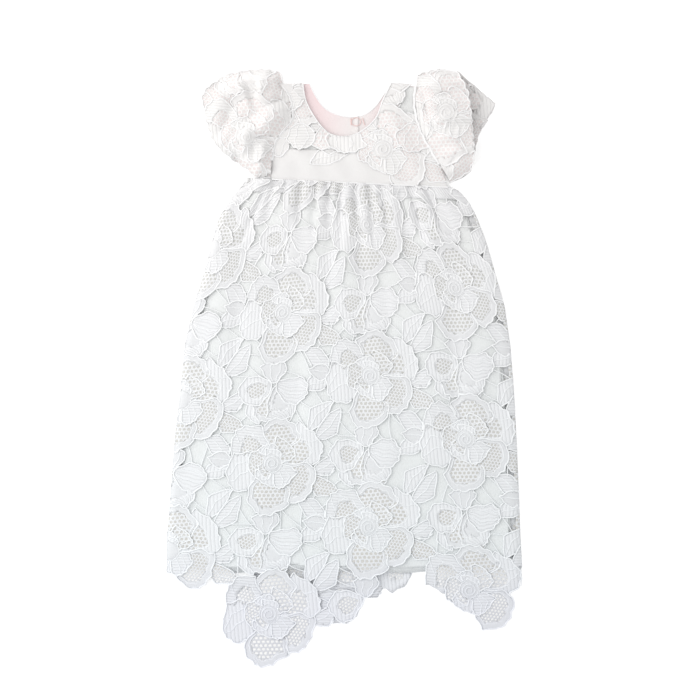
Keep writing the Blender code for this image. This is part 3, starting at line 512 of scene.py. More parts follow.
def lace_shapes(low, high, shift=(0.0, 0.0)):
    """Shapes of every repeat: all the leaves, then the buds, then the roses over them."""
    leaves, buds, roses = [], [], []

    def flower(x, y, rows, vary, level, into):
        for k, (start, turn, length, width, bow, fill, inner) in enumerate(rows):
            outline = (x, y, turn, length, width, bow, PETAL_SIDES, start, k + vary)
            size = INNER_SIZE
            if fill in ("net", "mesh") and length > NET_LEAST:
                fill, inner, size = "satin", fill, NET_SIZE
            into.append(petal(*outline, fill, level + 2 * k))
            if inner:
                into.append(petal(*outline, inner, level + 2 * k + 1, size, "inner"))

    for u, v in repeats(low, high, shift):
        for k, (dx, dy, turn, length, width, fill) in enumerate(LEAVES):
            leaves.append(petal(u + dx, v + dy, turn, length, width, 0.08, LEAF_SIDES, 0.0, dx, fill, k / 2))
        flower(u + BUD_PLACE[0], v + BUD_PLACE[1], BUD, u, BUD_LEVEL, buds)
        flower(u, v, ROSE, u + v, ROSE_LEVEL, roses)
        flower(u, v, ROSE_INSIDE, u - shift[0], INSIDE_LEVEL, roses)
        roses.append(petal(u - HEART, v, 0.0, 2.0 * HEART, 2.0 * HEART, 0.0, HEART_SIDES, 0.0, 0.0,
                           "satin", HEART_LEVEL, part="heart"))
    return leaves + buds + roses


class Ground:
    """The part of the plane that a lace piece fills, with the top shape of each square millimetre."""

    def __init__(self, ring, shapes, mapping, lowest=None):
        self.ring = ring
        self.left, self.low = ring.min(0) - 2.0
        wide, tall = (ring.max(0) + 2.0 - (self.left, self.low)).astype(int) + 1
        self.px, self.py = np.meshgrid(self.left + np.arange(wide) + 0.5, self.low + np.arange(tall) + 0.5)
        self.within = inside(ring, self.px, self.py)
        self.top = np.full(self.px.shape, -1)
        self.shapes = []
        hangs = True
        for shape in shapes:
            outline = mapping(shape.ring)
            if lowest is not None and shape.part not in ("inner", "band"):
                hangs = outline[:, 1].min() > lowest(outline[:, 0].mean()) - PETAL_PAST_HEM
            i0, j0 = np.maximum((outline.min(0) - (self.left, self.low)).astype(int) - 1, 0)
            i1, j1 = np.minimum((outline.max(0) - (self.left, self.low)).astype(int) + 2, (wide, tall))
            if not (hangs or shape.part == "band") or i0 >= i1 or j0 >= j1:
                continue
            hit = inside(outline, self.px[j0:j1, i0:i1], self.py[j0:j1, i0:i1])
            hit &= self.within[j0:j1, i0:i1]
            if hit.any():
                self.top[j0:j1, i0:i1][hit] = len(self.shapes)
                shape.outline = outline
                self.shapes.append(shape)

    def cell(self, x, y):
        """Row and column of the cell under each point."""
        i = np.clip((x - self.left).astype(int), 0, self.px.shape[1] - 1)
        j = np.clip((y - self.low).astype(int), 0, self.px.shape[0] - 1)
        return j, i

    def gaps(self):
        """Cells of each larger gap that has petals all round it."""
        empty = self.within & (self.top < 0)
        seen = ~empty
        tall, wide = empty.shape
        for j, i in zip(*np.nonzero(empty)):
            if seen[j, i]:
                continue
            seen[j, i] = True
            found, closed = [(j, i)], True
            for a, b in found:
                for c, d in ((a + 1, b), (a - 1, b), (a, b + 1), (a, b - 1)):
                    if not (0 <= c < tall and 0 <= d < wide) or not self.within[c, d]:
                        closed = False
                    elif not seen[c, d]:
                        seen[c, d] = True
                        found.append((c, d))
            if closed and len(found) >= GAP_LEAST:
                yield np.array(found).T


def place(points):
    """Millimetres of the plan to metres of the frame."""
    return (np.asarray(points) - (MIDDLE[0], MIDDLE[1], 0.0)) * METRES


def new_object(name, data):
    """An object in the scene."""
    thing = bpy.data.objects.new(name, data)
    bpy.context.scene.collection.objects.link(thing)
    return thing


def on_gown(name, data, material_list, slot="cotton_guipure"):
    """Puts a mesh or curve into the scene as a piece of the gown."""
    for material in material_list:
        data.materials.append(material)
    piece = new_object(name, data)
    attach(piece, "root")
    return piece


def cloth_from(builder, mesh, material_list, thickness, slot="cotton_guipure", under=False):
    """Makes a piece of cloth of the faces, turned up or down, with its thickness behind them."""
    for face in builder.faces:
        face.smooth = True
        if (face.normal.z < 0.0) != under:
            face.normal_flip()
    builder.to_mesh(mesh)
    builder.free()
    piece = on_gown(mesh.name, mesh, material_list, slot)
    shell = piece.modifiers.new("thickness", "SOLIDIFY")
    shell.thickness = thickness * METRES
    shell.offset = -1.0
    return piece


def petals(name, ground, height, mapping, pitch, material_list, lift, under):
    """Fills each shape with a patch of cloth that follows the height below it."""
    builder = bmesh.new()
    counts = []
    for shape in ground.shapes:
        rows, columns = max(4, int(round(shape.length / pitch))), max(2, int(round(shape.width / pitch)))
        bmesh.ops.create_grid(builder, x_segments=columns, y_segments=rows, size=1.0)
        counts.append((rows + 1) * (columns + 1))
    mesh = bpy.data.meshes.new(name)
    builder.to_mesh(mesh)
    builder.free()
    unit = np.zeros(3 * len(mesh.vertices))
    mesh.vertices.foreach_get("co", unit)
    unit = unit.reshape(-1, 3)
    spot, thread, owner = np.zeros((len(unit), 3)), np.zeros((len(unit), 2)), np.zeros(len(unit), int)
    ends = np.cumsum(counts)
    for k, (shape, start, end) in enumerate(zip(ground.shapes, ends - counts, ends)):
        s, t = (unit[start:end, 1] + 1.0) / 2.0, unit[start:end, 0]
        x, y = shape.at(s, t)
        thread[start:end] = joined(*shape.threads(x, y, s, t))
        spot[start:end, :2] = mapping(joined(x, y))
        spot[start:end, 2] = lift * shape.stand(s, t)
        owner[start:end] = k
    outside = ~inside(ground.ring, spot[:, 0], spot[:, 1])
    _, spot[outside, 0], spot[outside, 1] = nearest(ground.ring, spot[outside, 0], spot[outside, 1])
    spot[:, 2] += height(spot[:, 0], spot[:, 1])
    corners = np.zeros(len(mesh.loops), int)
    mesh.loops.foreach_get("vertex_index", corners)
    quads = corners.reshape(-1, 4)
    middle = spot[quads].mean(1)
    # only what shows is kept: no face below another shape, none laid wholly on the edge, none without a width
    shown = ground.top[ground.cell(spot[:, 0], spot[:, 1])] == owner
    keep = shown[quads].any(1) | (ground.top[ground.cell(middle[:, 0], middle[:, 1])] == owner[quads[:, 0]])
    reach = spot[quads].max(1) - spot[quads].min(1)
    keep &= (reach[:, 0] > 0.05) & (reach[:, 1] > 0.05) & ~outside[quads].all(1)
    mesh.vertices.foreach_set("co", place(spot).ravel())
    mesh.uv_layers.new(name="threads").data.foreach_set("uv", thread[corners].ravel())
    look = np.array([FILLS[shape.fill][1] for shape in ground.shapes])
    mesh.polygons.foreach_set("material_index", look[owner[quads[:, 0]]])
    builder = bmesh.new()
    builder.from_mesh(mesh)
    builder.faces.ensure_lookup_table()
    bmesh.ops.delete(builder, geom=[builder.faces[k] for k in np.nonzero(~keep)[0]], context="FACES")
    bmesh.ops.remove_doubles(builder, verts=builder.verts, dist=SAME_PLACE)
    bmesh.ops.dissolve_degenerate(builder, edges=builder.edges, dist=SAME_PLACE)
    builder.normal_update()
    return cloth_from(builder, mesh, material_list, THREAD, under=under)


def cords(name, runs, radius, material, slot="cotton_guipure"):
    """Round cords along runs of points in millimetres."""
    curve = bpy.data.curves.new(name, "CURVE")
    curve.dimensions = "3D"
    curve.bevel_depth = radius * METRES
    curve.bevel_resolution = 1
    curve.use_fill_caps = True
    for run, closed in runs:
        spline = curve.splines.new("POLY")
        spline.points.add(len(run) - 1)
        spline.points.foreach_set("co", joined(*place(run).T, 1.0).ravel())
        spline.use_cyclic_u = closed
        spline.use_smooth = True
    return on_gown(name, curve, [material], slot)


def outlines(ground, height, contours, radius, lift):
    """Runs of each shape's outline where no other shape covers it."""
    runs = []
    for k, shape in enumerate(ground.shapes):
        if shape.part == "band" or (shape.part in ("inner", "heart")) != contours:
            continue
        x, y = shape.outline.T
        cell = ground.cell(x, y)
        shown = ground.within[cell] & (ground.top[cell] <= k)
        points = joined(x, y, height(x, y) + lift * shape.stand(shape.along, 1.0) + 0.4 * radius)
        if shown.all():
            runs.append((points, True))
            continue
        order = (np.arange(len(x)) + int(np.argmin(shown))) % len(x)
        run = []
        for n in list(order) + [None]:
            if n is not None and shown[n]:
                run.append(points[n])
            else:
                if len(run) > 2:
                    runs.append((np.array(run), False))
                run = []
    return runs


def veins(ground, mapping, height, radius, lift):
    """Fine cords that run up the petals and leaves where they show."""
    runs = []
    for k, shape in enumerate(ground.shapes):
        if shape.part != "outer" or shape.length < 20.0:
            continue
        tracks = (-0.38 - 0.1 * math.sin(shape.level), 0.3 + 0.12 * math.cos(shape.level))
        s = np.linspace(0.06, 0.84, 14)
        for track in (0.0,) if shape.level < BUD_LEVEL else tracks:
            t = track + 0.1 * np.sin(5.0 * s + shape.level)
            x, y = mapping(joined(*shape.at(s, t))).T
            cell = ground.cell(x, y)
            shown = ground.within[cell] & (ground.top[cell] == k)
            line = joined(x, y, height(x, y) + lift * shape.stand(s, t) + 0.4 * radius)[shown]
            if len(line) > 4 and np.diff(np.nonzero(shown)[0]).max() == 1:
                runs.append((line, False))
    return runs


def hearts(centres, mapping, ground, height, lift):
    """A spiral cord in the heart of each rose."""
    runs = []
    for u, v in centres:
        turns = np.linspace(0.0, 2.3 * 2.0 * math.pi, 40)
        share = turns / turns[-1]
        radius = 2.2 + (HEART - 3.0) * share
        x, y = mapping(joined(u + radius * np.cos(turns + u), v + radius * np.sin(turns + u))).T
        if inside(ground.ring, x, y).all():
            rise = lift * (HEART_LEVEL * STEP + 1.4 * (1.0 - share) + 0.5)
            runs.append((joined(x, y, height(x, y) + rise), False))
    return runs


def bars(ground, height):
    """Thin twisted bars that cross the gaps of the lace."""
    runs = []
    for j, i in ground.gaps():
        xy = joined(ground.px[j, i], ground.py[j, i])
        centre = xy.mean(0)
        cross, main = np.linalg.eigh(np.cov((xy - centre).T))[1].T
        reach = np.abs((xy - centre) @ main).max()
        count = max(1, int(reach / 9.0))
        for k in range(count):
            offset = ((k + 0.5) / count * 2.0 - 1.0) * reach * 0.8 if count > 1 else 0.0
            tilt = 0.45 * math.sin(3.1 * k + centre[0] * 0.7 + centre[1] * 0.3)
            way = cross * math.cos(tilt) + main * math.sin(tilt)
            start = centre + main * offset
            ends, meets = [], True
            for sign in (-1.0, 1.0):
                for d in np.arange(0.0, 30.0, 0.5):
                    cell = ground.cell(*(start + way * sign * d)[:, None])
                    if ground.top[cell][0] >= 0 or not ground.within[cell][0]:
                        break
                meets = meets and ground.within[cell][0] and ground.top[cell][0] >= 0
                ends.append(start + way * sign * (d + 1.2))
            length = np.hypot(*(ends[1] - ends[0]))
            if meets and length > 6.0:
                t = np.linspace(0.0, 1.0, 6)[:, None]
                bow = 0.06 * length * math.sin(k + centre[1])
                x, y = (ends[0] * (1 - t) + ends[1] * t + main * (4.0 * t * (1 - t)) * bow).T
                runs.append((joined(x, y, height(x, y) + 0.7), False))
    return runs


def feed(tree, socket, value):
    """Sets a socket to a number or a colour, or links the socket that is given to it."""
    if isinstance(value, bpy.types.NodeSocket):
        tree.links.new(value, socket)
    else:
        socket.default_value = (*value, 1.0) if isinstance(value, tuple) else value


def sum_of(tree, operation, *values):
    """A Math node on values or sockets, and its result."""
    node = tree.nodes.new("ShaderNodeMath")
    node.operation = operation
    for socket, value in zip(node.inputs, values):
        feed(tree, socket, value)
    return node.outputs[0]


def mixed(tree, share, a, b, blend="MIX"):
    """A mix of two colours, each a value or a socket."""
    node = tree.nodes.new("ShaderNodeMix")
    node.data_type, node.blend_type = "RGBA", blend
    for label, value in (("Factor", share), ("A", a), ("B", b)):
        feed(tree, node.inputs[label], value)
    return node.outputs["Result"]


def parts_of(tree, vector):
    """The three coordinates of a vector."""
    node = tree.nodes.new("ShaderNodeSeparateXYZ")
    tree.links.new(vector, node.inputs[0])
    return node.outputs


def noise(tree, vector, scale, detail=2.0):
    """Soft noise from 0 to 1."""
    node = tree.nodes.new("ShaderNodeTexNoise")
    node.inputs["Scale"].default_value = scale
    node.inputs["Detail"].default_value = detail
    tree.links.new(vector, node.inputs["Vector"])
    return node.outputs["Fac"]


def effect(name, inputs, outputs):
    """A node group: numbers and vectors go in, the named numbers that the makers give come out."""
    group = bpy.data.node_groups.new(name, "ShaderNodeTree")
    for label, value in inputs.items():
        kind = "Vector" if value is None else "Float"
        socket = group.interface.new_socket(label, in_out="INPUT", socket_type="NodeSocket" + kind)
        if value is not None:
            socket.default_value = value
    start = group.nodes.new("NodeGroupInput")
    of = partial(sum_of, group)
    for label in outputs:
        group.interface.new_socket(label, in_out="OUTPUT", socket_type="NodeSocketFloat")
    return group, of, start.outputs, group.nodes.new("NodeGroupOutput").inputs


def rib_effect():
    """Raised ribs of thread, that are uneven by hand and by the twist of the thread, and a mask of the valleys
    between them for painted shade.
    """
    group, of, given, made = effect("raised_ribs", {"Threads": None, "Place": None}, ("Height", "painted_valley_shade"))
    across, along, _ = parts_of(group, given["Threads"])
    count = of("ADD", across, of("MULTIPLY", noise(group, given["Place"], 260.0), 0.3))
    wave = of("ABSOLUTE", of("SINE", of("MULTIPLY", count, math.pi)))
    twist = of("SINE", of("MULTIPLY", along, 4.5 * math.pi))
    feed(group, made["Height"], of("MULTIPLY_ADD", twist, 0.08, of("POWER", wave, 0.6)))
    feed(group, made["painted_valley_shade"], of("SUBTRACT", 1.0, of("MINIMUM", of("MULTIPLY", wave, 2.2), 1.0)))
    return group


def net_effect():
    """A net of twisted threads: rounded holes between them, in staggered rows."""
    group, of, given, made = effect("net_of_thread", {"Threads": None, "Place": None, "Hole": 0.3},
                                    ("Height", "Thread"))
    across, down, _ = parts_of(group, given["Threads"])
    wander = of("MULTIPLY", noise(group, given["Place"], 190.0), 0.35)
    rows = of("MULTIPLY_ADD", down, ROWS_TO_HOLES, wander)
    odd = of("FRACT", of("MULTIPLY", of("FLOOR", rows), 0.5))
    along = of("ADD", of("ADD", across, wander), odd)
    sides = [of("POWER", of("ABSOLUTE", of("SUBTRACT", of("FRACT", way), 0.5)), 3.0) for way in (along, rows)]
    past = of("SUBTRACT", of("POWER", of("ADD", *sides), 1.0 / 3.0), given["Hole"])
    feed(group, made["Thread"], of("GREATER_THAN", past, 0.0))
    feed(group, made["Height"], of("SQRT", of("MINIMUM", of("MAXIMUM", of("MULTIPLY", past, 5.0), 0.0), 1.0)))
    return group


def mottle_effect():
    """Slow change of tone over the cloth, and fine fuzz of its thread."""
    group, _, given, made = effect("cloth_mottle", {"Place": None}, ("Tone", "Fuzz"))
    feed(group, made["Tone"], noise(group, given["Place"], 14.0, 3.0))
    feed(group, made["Fuzz"], noise(group, given["Place"], 1500.0))
    return group


def satin_effect():
    """Fine slanting lines of a satin weave with a few heavier threads."""
    group, of, given, made = effect("satin_weave", {"Place": None, "Pitch": 2200.0}, ("Height", "Slub"))
    across, along, _ = parts_of(group, given["Place"])
    line = of("MULTIPLY_ADD", across, 0.35, along)
    feed(group, made["Height"], of("SINE", of("MULTIPLY", line, of("MULTIPLY", given["Pitch"], 2.0 * math.pi))))
    stretch = group.nodes.new("ShaderNodeMapping")
    stretch.inputs["Scale"].default_value = (30.0, 700.0, 30.0)
    group.links.new(given["Place"], stretch.inputs["Vector"])
    feed(group, made["Slub"], noise(group, stretch.outputs[0], 1.0))
    return group


def new_material(name, values):
    """A material whose shader has these values, its node tree and its shader."""
    material = bpy.data.materials.new(name)
    material.use_nodes = True
    shader = material.node_tree.nodes["Principled BSDF"]
    for label, value in values.items():
        shader.inputs[label].default_value = value
    return material, material.node_tree, shader


EFFECTS = {"ribs": rib_effect(), "net": net_effect(), "mottle": mottle_effect(), "satin": satin_effect()}


def thread_cloth(name, dark, light, kind, roughness, bump, sheen, painted_behind=PAINTED_SHADE_BEHIND, filled=PAINTED_GROUND_THREADS):
    """A cloth material: its pattern of threads over mottled white, with painted shade in the valleys of its ribs
    and a painted fall-off of light, a little cooler and darker further down.
    """
    material, tree, shader = new_material(name, {
        "Roughness": roughness, "Metallic": 0.0, "Specular IOR Level": 0.3, "Sheen Weight": sheen,
        "Sheen Roughness": 0.5})
    of = partial(sum_of, tree)
    where = tree.nodes.new("ShaderNodeTexCoord").outputs

    def made_by(pattern, **links):
        node = tree.nodes.new("ShaderNodeGroup")
        node.node_tree = EFFECTS[pattern]
        for label, value in links.items():
            feed(tree, node.inputs[label], value)
        return node.outputs

    mottle = made_by("mottle", Place=where["Object"])
    amount, height = of("MULTIPLY_ADD", mottle["Tone"], 0.8, 0.2), mottle["Fuzz"]
    if kind in ("ribs", "stitch"):
        ribs = made_by("ribs", Threads=where["UV"], Place=where["Object"])
        # painted shade: the tone is pulled towards the dark colour in the valleys between the ribs
        amount, height = of("MULTIPLY", amount, of("MULTIPLY_ADD", ribs["painted_valley_shade"], -0.4, 1.0)), ribs["Height"]
    elif kind == "net":
        net = made_by("net", Threads=where["UV"], Place=where["Object"], Hole=HOLE)
        height = net["Height"]
    elif kind == "satin":
        weave = made_by("satin", Place=where["Object"])
        height = of("MULTIPLY_ADD", weave["Slub"], 2.0, weave["Height"])
    # Painted light fall-off: a ramp down the gown, warmer at the top and darker and cooler towards the hem,
    # multiplied into the colour
    along = parts_of(tree, where["Object"])[1]
    painted_falloff = tree.nodes.new("ShaderNodeValToRGB")
    for k, (down, colour) in enumerate(PAINTED_LIGHT_TINTS):
        stop = painted_falloff.color_ramp.elements[k] if k < 2 else painted_falloff.color_ramp.elements.new(down)
        # painted shade: the net's threads are painted darker still at the hem
        if kind == "net" and k == len(PAINTED_LIGHT_TINTS) - 1:
            colour = [PAINTED_HEM_NET_SHADE * part for part in colour]
        stop.position, stop.color = down, (*colour, 1.0)
    feed(tree, painted_falloff.inputs[0], of("DIVIDE", of("SUBTRACT", 0.5 * GOWN_LENGTH, along), GOWN_LENGTH))
    colour = mixed(tree, 1.0, mixed(tree, amount, dark, light), painted_falloff.outputs["Color"], "MULTIPLY")
    if kind == "net":
        # past the lining's hem the net is more open, and its finest threads are painted white for the lit floor
        # seen through; above it they carry the painted shade of the lining behind
        lined = of("MINIMUM", of("MAXIMUM", of("DIVIDE", of("SUBTRACT", along, LINED_FROM), LINED_OVER), 0.0), 1.0)
        share = of("MULTIPLY_ADD", lined, filled - PAINTED_HEM_THREADS, PAINTED_HEM_THREADS)
        feed(tree, shader.inputs["Alpha"], of("MAXIMUM", net["Thread"], share))
        colour = mixed(tree, net["Thread"], mixed(tree, lined, PAINTED_FLOOR_WHITE, painted_behind), colour)
    feed(tree, shader.inputs["Base Color"], colour)
    relief = tree.nodes.new("ShaderNodeBump")
    relief.inputs["Distance"].default_value = bump
    relief.inputs["Strength"].default_value = 0.8
    feed(tree, relief.inputs["Height"], height)
    feed(tree, shader.inputs["Normal"], relief.outputs["Normal"])
    return material


def fade_to_white(material, middle, reach, pale):
    """Makes a lining paler near an upright line at x = middle."""
    tree = material.node_tree
    of = partial(sum_of, tree)
    across = parts_of(tree, tree.nodes.new("ShaderNodeTexCoord").outputs["Object"])[0]
    share = of("MINIMUM", of("DIVIDE", of("ABSOLUTE", of("SUBTRACT", across, middle)), reach), 1.0)
    colour = tree.nodes["Principled BSDF"].inputs["Base Color"]
    feed(tree, colour, mixed(tree, share, pale, colour.links[0].from_socket))


SKIRT_DARK, SKIRT_LIGHT = (0.79, 0.79, 0.80), (0.85, 0.85, 0.86)
# Painted warm shade: the bodice's and sleeves' lace is a warmer copy of the skirt's, for the warm shade that falls
# there
UPPER_DARK, UPPER_LIGHT = (0.83, 0.82, 0.815), (0.88, 0.875, 0.87)
LOOKS = {row[0]: thread_cloth(*row) for row in (
    # name, darkest, lightest, kind, roughness, depth of its relief in metres, sheen
    ("ribbed_lace", SKIRT_DARK, SKIRT_LIGHT, "ribs", 0.85, 0.0007, 0.2),
    ("netted_lace", SKIRT_DARK, SKIRT_LIGHT, "net", 0.85, 0.0004, 0.2),
    ("stitched_lace", SKIRT_DARK, SKIRT_LIGHT, "stitch", 0.75, 0.0003, 0.25),
    ("lace_cord", (0.90, 0.90, 0.905), (0.94, 0.94, 0.945), "cord", 0.8, 0.0002, 0.2),
    ("white_satin_cloth", (0.85, 0.86, 0.855), (0.89, 0.90, 0.895), "satin", 0.42, 0.00006, 0.1),
    ("pink_satin_cloth", (0.90, 0.68, 0.70), (0.92, 0.82, 0.825), "satin", 0.45, 0.00006, 0.1),
    ("ribbed_lace_upper", UPPER_DARK, UPPER_LIGHT, "ribs", 0.85, 0.0007, 0.2),
    # its net's holes carry a painted warm pinkish shade of the cloth behind
    ("netted_lace_upper", UPPER_DARK, UPPER_LIGHT, "net", 0.85, 0.0004, 0.2, (0.92, 0.845, 0.835), 0.85),
    ("stitched_lace_upper", (0.86, 0.85, 0.845), (0.905, 0.895, 0.89), "stitch", 0.75, 0.0003, 0.25),
    ("loop_thread", (0.84, 0.62, 0.60), (0.88, 0.70, 0.68), "cord", 0.7, 0.0002, 0.1),
)}
fade_to_white(LOOKS["pink_satin_cloth"], 0.014, 0.046, (0.92, 0.885, 0.875))


def same(points):
    """The bodice and sleeves take the lace as it is."""
    return points


def bodice_ring(neck):
    """Edge of the bodice with one of its necklines."""
    foot = tuple((x, float(waist(x)) + SEAM) for x in (WAIST_RIGHT, WAIST_LEFT))
    return np.array(LEFT_ARMHOLE[::-1] + neck + RIGHT_ARMHOLE + foot)


def moved_in(ring, inset):
    """The ring with every edge moved inwards."""
    after, before = np.roll(ring, -1, 0) - ring, ring - np.roll(ring, 1, 0)
    area = np.sum(ring[:, 0] * np.roll(ring[:, 1], -1) - np.roll(ring[:, 0], -1) * ring[:, 1])
    n1, n2 = (joined(-way[:, 1], way[:, 0]) / np.hypot(*way.T)[:, None] for way in (before, after))
    half = n1 + n2
    half /= np.maximum((half * n1).sum(1), 0.35)[:, None]
    return ring + inset * math.copysign(1.0, area) * half


def cut_at(ring, x, side):
    """The part of a ring on one side of an upright line."""
    points = []
    for a, b in zip(ring, np.roll(ring, -1, 0)):
        if side * (a[0] - x) >= 0.0:
            points.append(a)
        if (a[0] - x) * (b[0] - x) < 0.0:
            points.append(a + (b - a) * (x - a[0]) / (b[0] - a[0]))
    return np.array(points)


def skirt_ring(lowest, inset=0.0, hem=None):
    """Edge of a skirt piece: the waist, the sides, and the hem of a lining or of the lace."""
    ys = np.linspace(WAIST_Y - 2.0, (hem or SIDES_END), 60)
    left, right = skirt_edges(ys)
    sides = joined(left + inset, ys), joined(right - inset, ys)
    for side in sides:
        side[0, 1] = float(waist(side[0, 0])) - SEAM
    across = np.linspace(sides[0][-1, 0], sides[1][-1, 0], 60 if hem else 80)
    if hem:
        bottom = joined(across, hem + HEM_WAVE * np.sin(0.055 * across + 0.8 * np.sin(0.02 * across)))[1:-1]
    else:
        bottom = joined(across, lowest(across) - LACE_PAST_HEM)
    return np.concatenate([sides[0], bottom, sides[1][::-1]])


def scalloped(rows):
    """Points along a sleeve's outline, with uneven scallops that die out at the armhole."""
    corners = np.array([row[:2] for row in rows])
    ways = np.diff(corners, axis=0)
    lengths = np.hypot(*ways.T)
    starts = np.concatenate([[0.0], np.cumsum(lengths)])
    run = np.linspace(0.0, starts[-1], int(starts[-1] / 2.0))
    edge = np.clip(np.searchsorted(starts, run, "right") - 1, 0, len(ways) - 1)
    outwards = math.copysign(1.0, rows[0][0]) * joined(-ways[:, 1], ways[:, 0]) / lengths[:, None]
    spots = joined(*(np.interp(run, starts, corners[:, k]) for k in (0, 1)))
    wave = np.abs(np.sin(math.pi * run / SCALLOP_PITCH + 0.9 * np.sin(0.047 * run))) - 0.45
    fade = soft(np.minimum(run, starts[-1] - run) / 14.0)
    depth = SCALLOP * fade * (0.75 + 0.25 * np.sin(0.09 * run))
    return spots + outwards[edge] * (depth * wave)[:, None]


def sleeve_band(ring):
    """Plain net over the whole of a sleeve, under its petals."""
    (left, low), (right, high) = ring.min(0), ring.max(0)
    y = np.linspace(low, high, 40)
    return [strip(joined(left, y), joined(right, y), "mesh")]


def skirt_bands():
    """Plain lace along the waist and the two sides, under the petals."""
    u = np.linspace(-HALF_SKIRT, HALF_SKIRT, 90)
    top = joined(u, waist(on_skirt(joined(u, WAIST_Y))[:, 0]) - SEAM)
    y = np.linspace(WAIST_Y, LINING_HEM_Y, 90)
    return [strip(top, top - (0.0, 16.0), "rib")] + [
        strip(joined(edge, y), joined(edge - math.copysign(5.0, edge), y), "net")
        for edge in (-HALF_SKIRT, HALF_SKIRT)]


def bodice_rise(x, y, crease=0.0):
    """How far the front of the bodice stands above its lying edge, with shallow creases."""
    edge = nearest(bodice_ring(FRONT_NECK), x, y)[0]
    return CROWN * soft(edge / 30.0) + crease * soft(edge / 10.0) * np.sin(0.10 * x + 0.05 * y) ** 2


def sleeve_height(rows, armhole, table, creases):
    """Gives the function for the underside of a sleeve's front half."""
    cuff = [k for k, row in enumerate(rows) if row[2] == "cuff"]
    upper, lower = (np.array([row[:2] for row in part]) for part in (rows[:cuff[0]], rows[cuff[-1] + 1:]))
    arm = np.array(armhole)

    def under(x, y):
        off_fold = np.minimum(nearest(upper, x, y, False)[0], nearest(lower, x, y, False)[0])
        off_arm = nearest(arm, x, y, False)[0]
        puffed = lobes(table, x, y) + bumps(creases, x, y)
        body = ARM_RISE + (PUFF - ARM_RISE) * soft(off_arm / 26.0) + puffed * soft(off_arm / 10.0)
        body = body - SLEEVE_DROP * (1.0 - soft(off_arm / 7.0))
        at = y + 0.25 * np.abs(x)
        body = body + SLEEVE_GATHER * np.sin(at * 0.62 + 0.9 * np.sin(at * 0.17)) * np.exp(-off_arm / 16.0)
        return FRONT_EDGE_Z + soft(off_fold / 15.0) * body

    return under


def fold_rise(x, y):
    """Height of the gathers, waves and creases together, hardly below the lying cloth."""
    return np.maximum(folds(x, y) + bumps(CREASES, x, y), -0.5)


def satin_under(x, y):
    """Underside of the skirt's front lining."""
    return FRONT_SATIN_Z + soft((from_side(x, y) - LINING_INSET) / 12.0) * 0.85 * fold_rise(x, y)


def lace_under(x, y):
    """Underside of the front lace, which comes down to the back at the sides and the hem."""
    side = soft(from_side(x, y) / (0.5 * LINING_INSET))
    hem = soft((y - HEM_FALL[1]) / (HEM_FALL[0] - HEM_FALL[1]))
    return FRONT_EDGE_Z + side * hem * (FRONT_LACE_Z - FRONT_EDGE_Z + fold_rise(x, y))


def front_hem(x):
    """How low the front lace hangs."""
    return np.interp(x, *np.transpose(HEM))


def back_hem(x):
    """How low the back's lace hangs."""
    return np.interp(x, *np.transpose(BACK_HEM))


def above_band(x):
    """How low the bodice's petals hang: in the middle they leave the plain waistband bare."""
    return waist(x) + (BAND_HEIGHT + 4.0) * np.exp(-((x + 2.0) / 52.0) ** 6)


def cut_as(cloth, node, held, rests_on):
    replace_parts(cloth, node)
    width, length, area = CUTS[cloth.name]
    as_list(rests_on)


def lace_piece(name, node, ring, bands, repeat, pitch, height=None, held="laid", rests_on=(),
               mapping=same, lowest=None, over=()):
    """One piece of lace with its cords, hearts and bars. Without a height it lies flat at the bottom."""
    under = height is None
    height = height or (lambda x, y: BACK_LACE_Z + 0.0 * x)
    lift, size = (FLAT_LIFT, FLAT_CORD) if under else (1.0, 1.0)
    ground = Ground(ring, bands + lace_shapes(*repeat) + list(over), mapping, lowest)
    end = "_lace" if name.startswith("skirt") else "_lace_upper"
    laces = [LOOKS[stitch + end] for stitch in ("ribbed", "netted", "stitched")]
    cloth = petals(name, ground, height, mapping, pitch, laces, lift, under)
    thick = outlines(ground, height, False, size * CORD, lift)
    fine = outlines(ground, height, True, size * FINE_CORD, lift)
    crossing = []
    if not under:
        fine += hearts(repeats(*repeat), mapping, ground, height, lift)
        crossing = bars(ground, height)
    fine += veins(ground, mapping, height, size * FINE_CORD, lift)
    sewn_on = [cords(name + word, runs, radius, LOOKS["lace_cord"]) for word, runs, radius in (
        ("_cords", thick, size * CORD),
        ("_contours", fine, size * FINE_CORD),
        ("_bars", crossing, BAR),
    ) if runs]
    cut_as(cloth, node, held, list(rests_on))


def lining(name, node, ring, height, look, slot, held, rests_on, pitch):
    """One smooth lining panel in the place of its solid."""
    low, high = ring.min(0), ring.max(0)
    middle, half = (low + high) / 2.0, (high - low) / 2.0
    builder = bmesh.new()
    columns, rows = (int(round(2.0 * h / pitch)) for h in half)
    bmesh.ops.create_grid(builder, x_segments=columns, y_segments=rows, size=1.0)
    x, y = (middle + np.array([vertex.co[:2] for vertex in builder.verts]) * half).T
    outside = ~inside(ring, x, y)
    off, bx, by = nearest(ring, x[outside], y[outside])
    far = np.zeros(len(x), bool)
    far[outside] = off > 1.5 * pitch
    x[outside], y[outside] = bx, by
    for vertex, spot in zip(builder.verts, place(joined(x, y, height(x, y)))):
        vertex.co = spot
    builder.verts.index_update()
    gone = [face for face in builder.faces if all(outside[v.index] for v in face.verts)
            or any(far[v.index] for v in face.verts)]
    bmesh.ops.delete(builder, geom=gone, context="FACES")
    cloth = cloth_from(builder, bpy.data.meshes.new(name), [LOOKS[look]], LINING_THICK, slot)
    cut_as(cloth, node, held, rests_on)


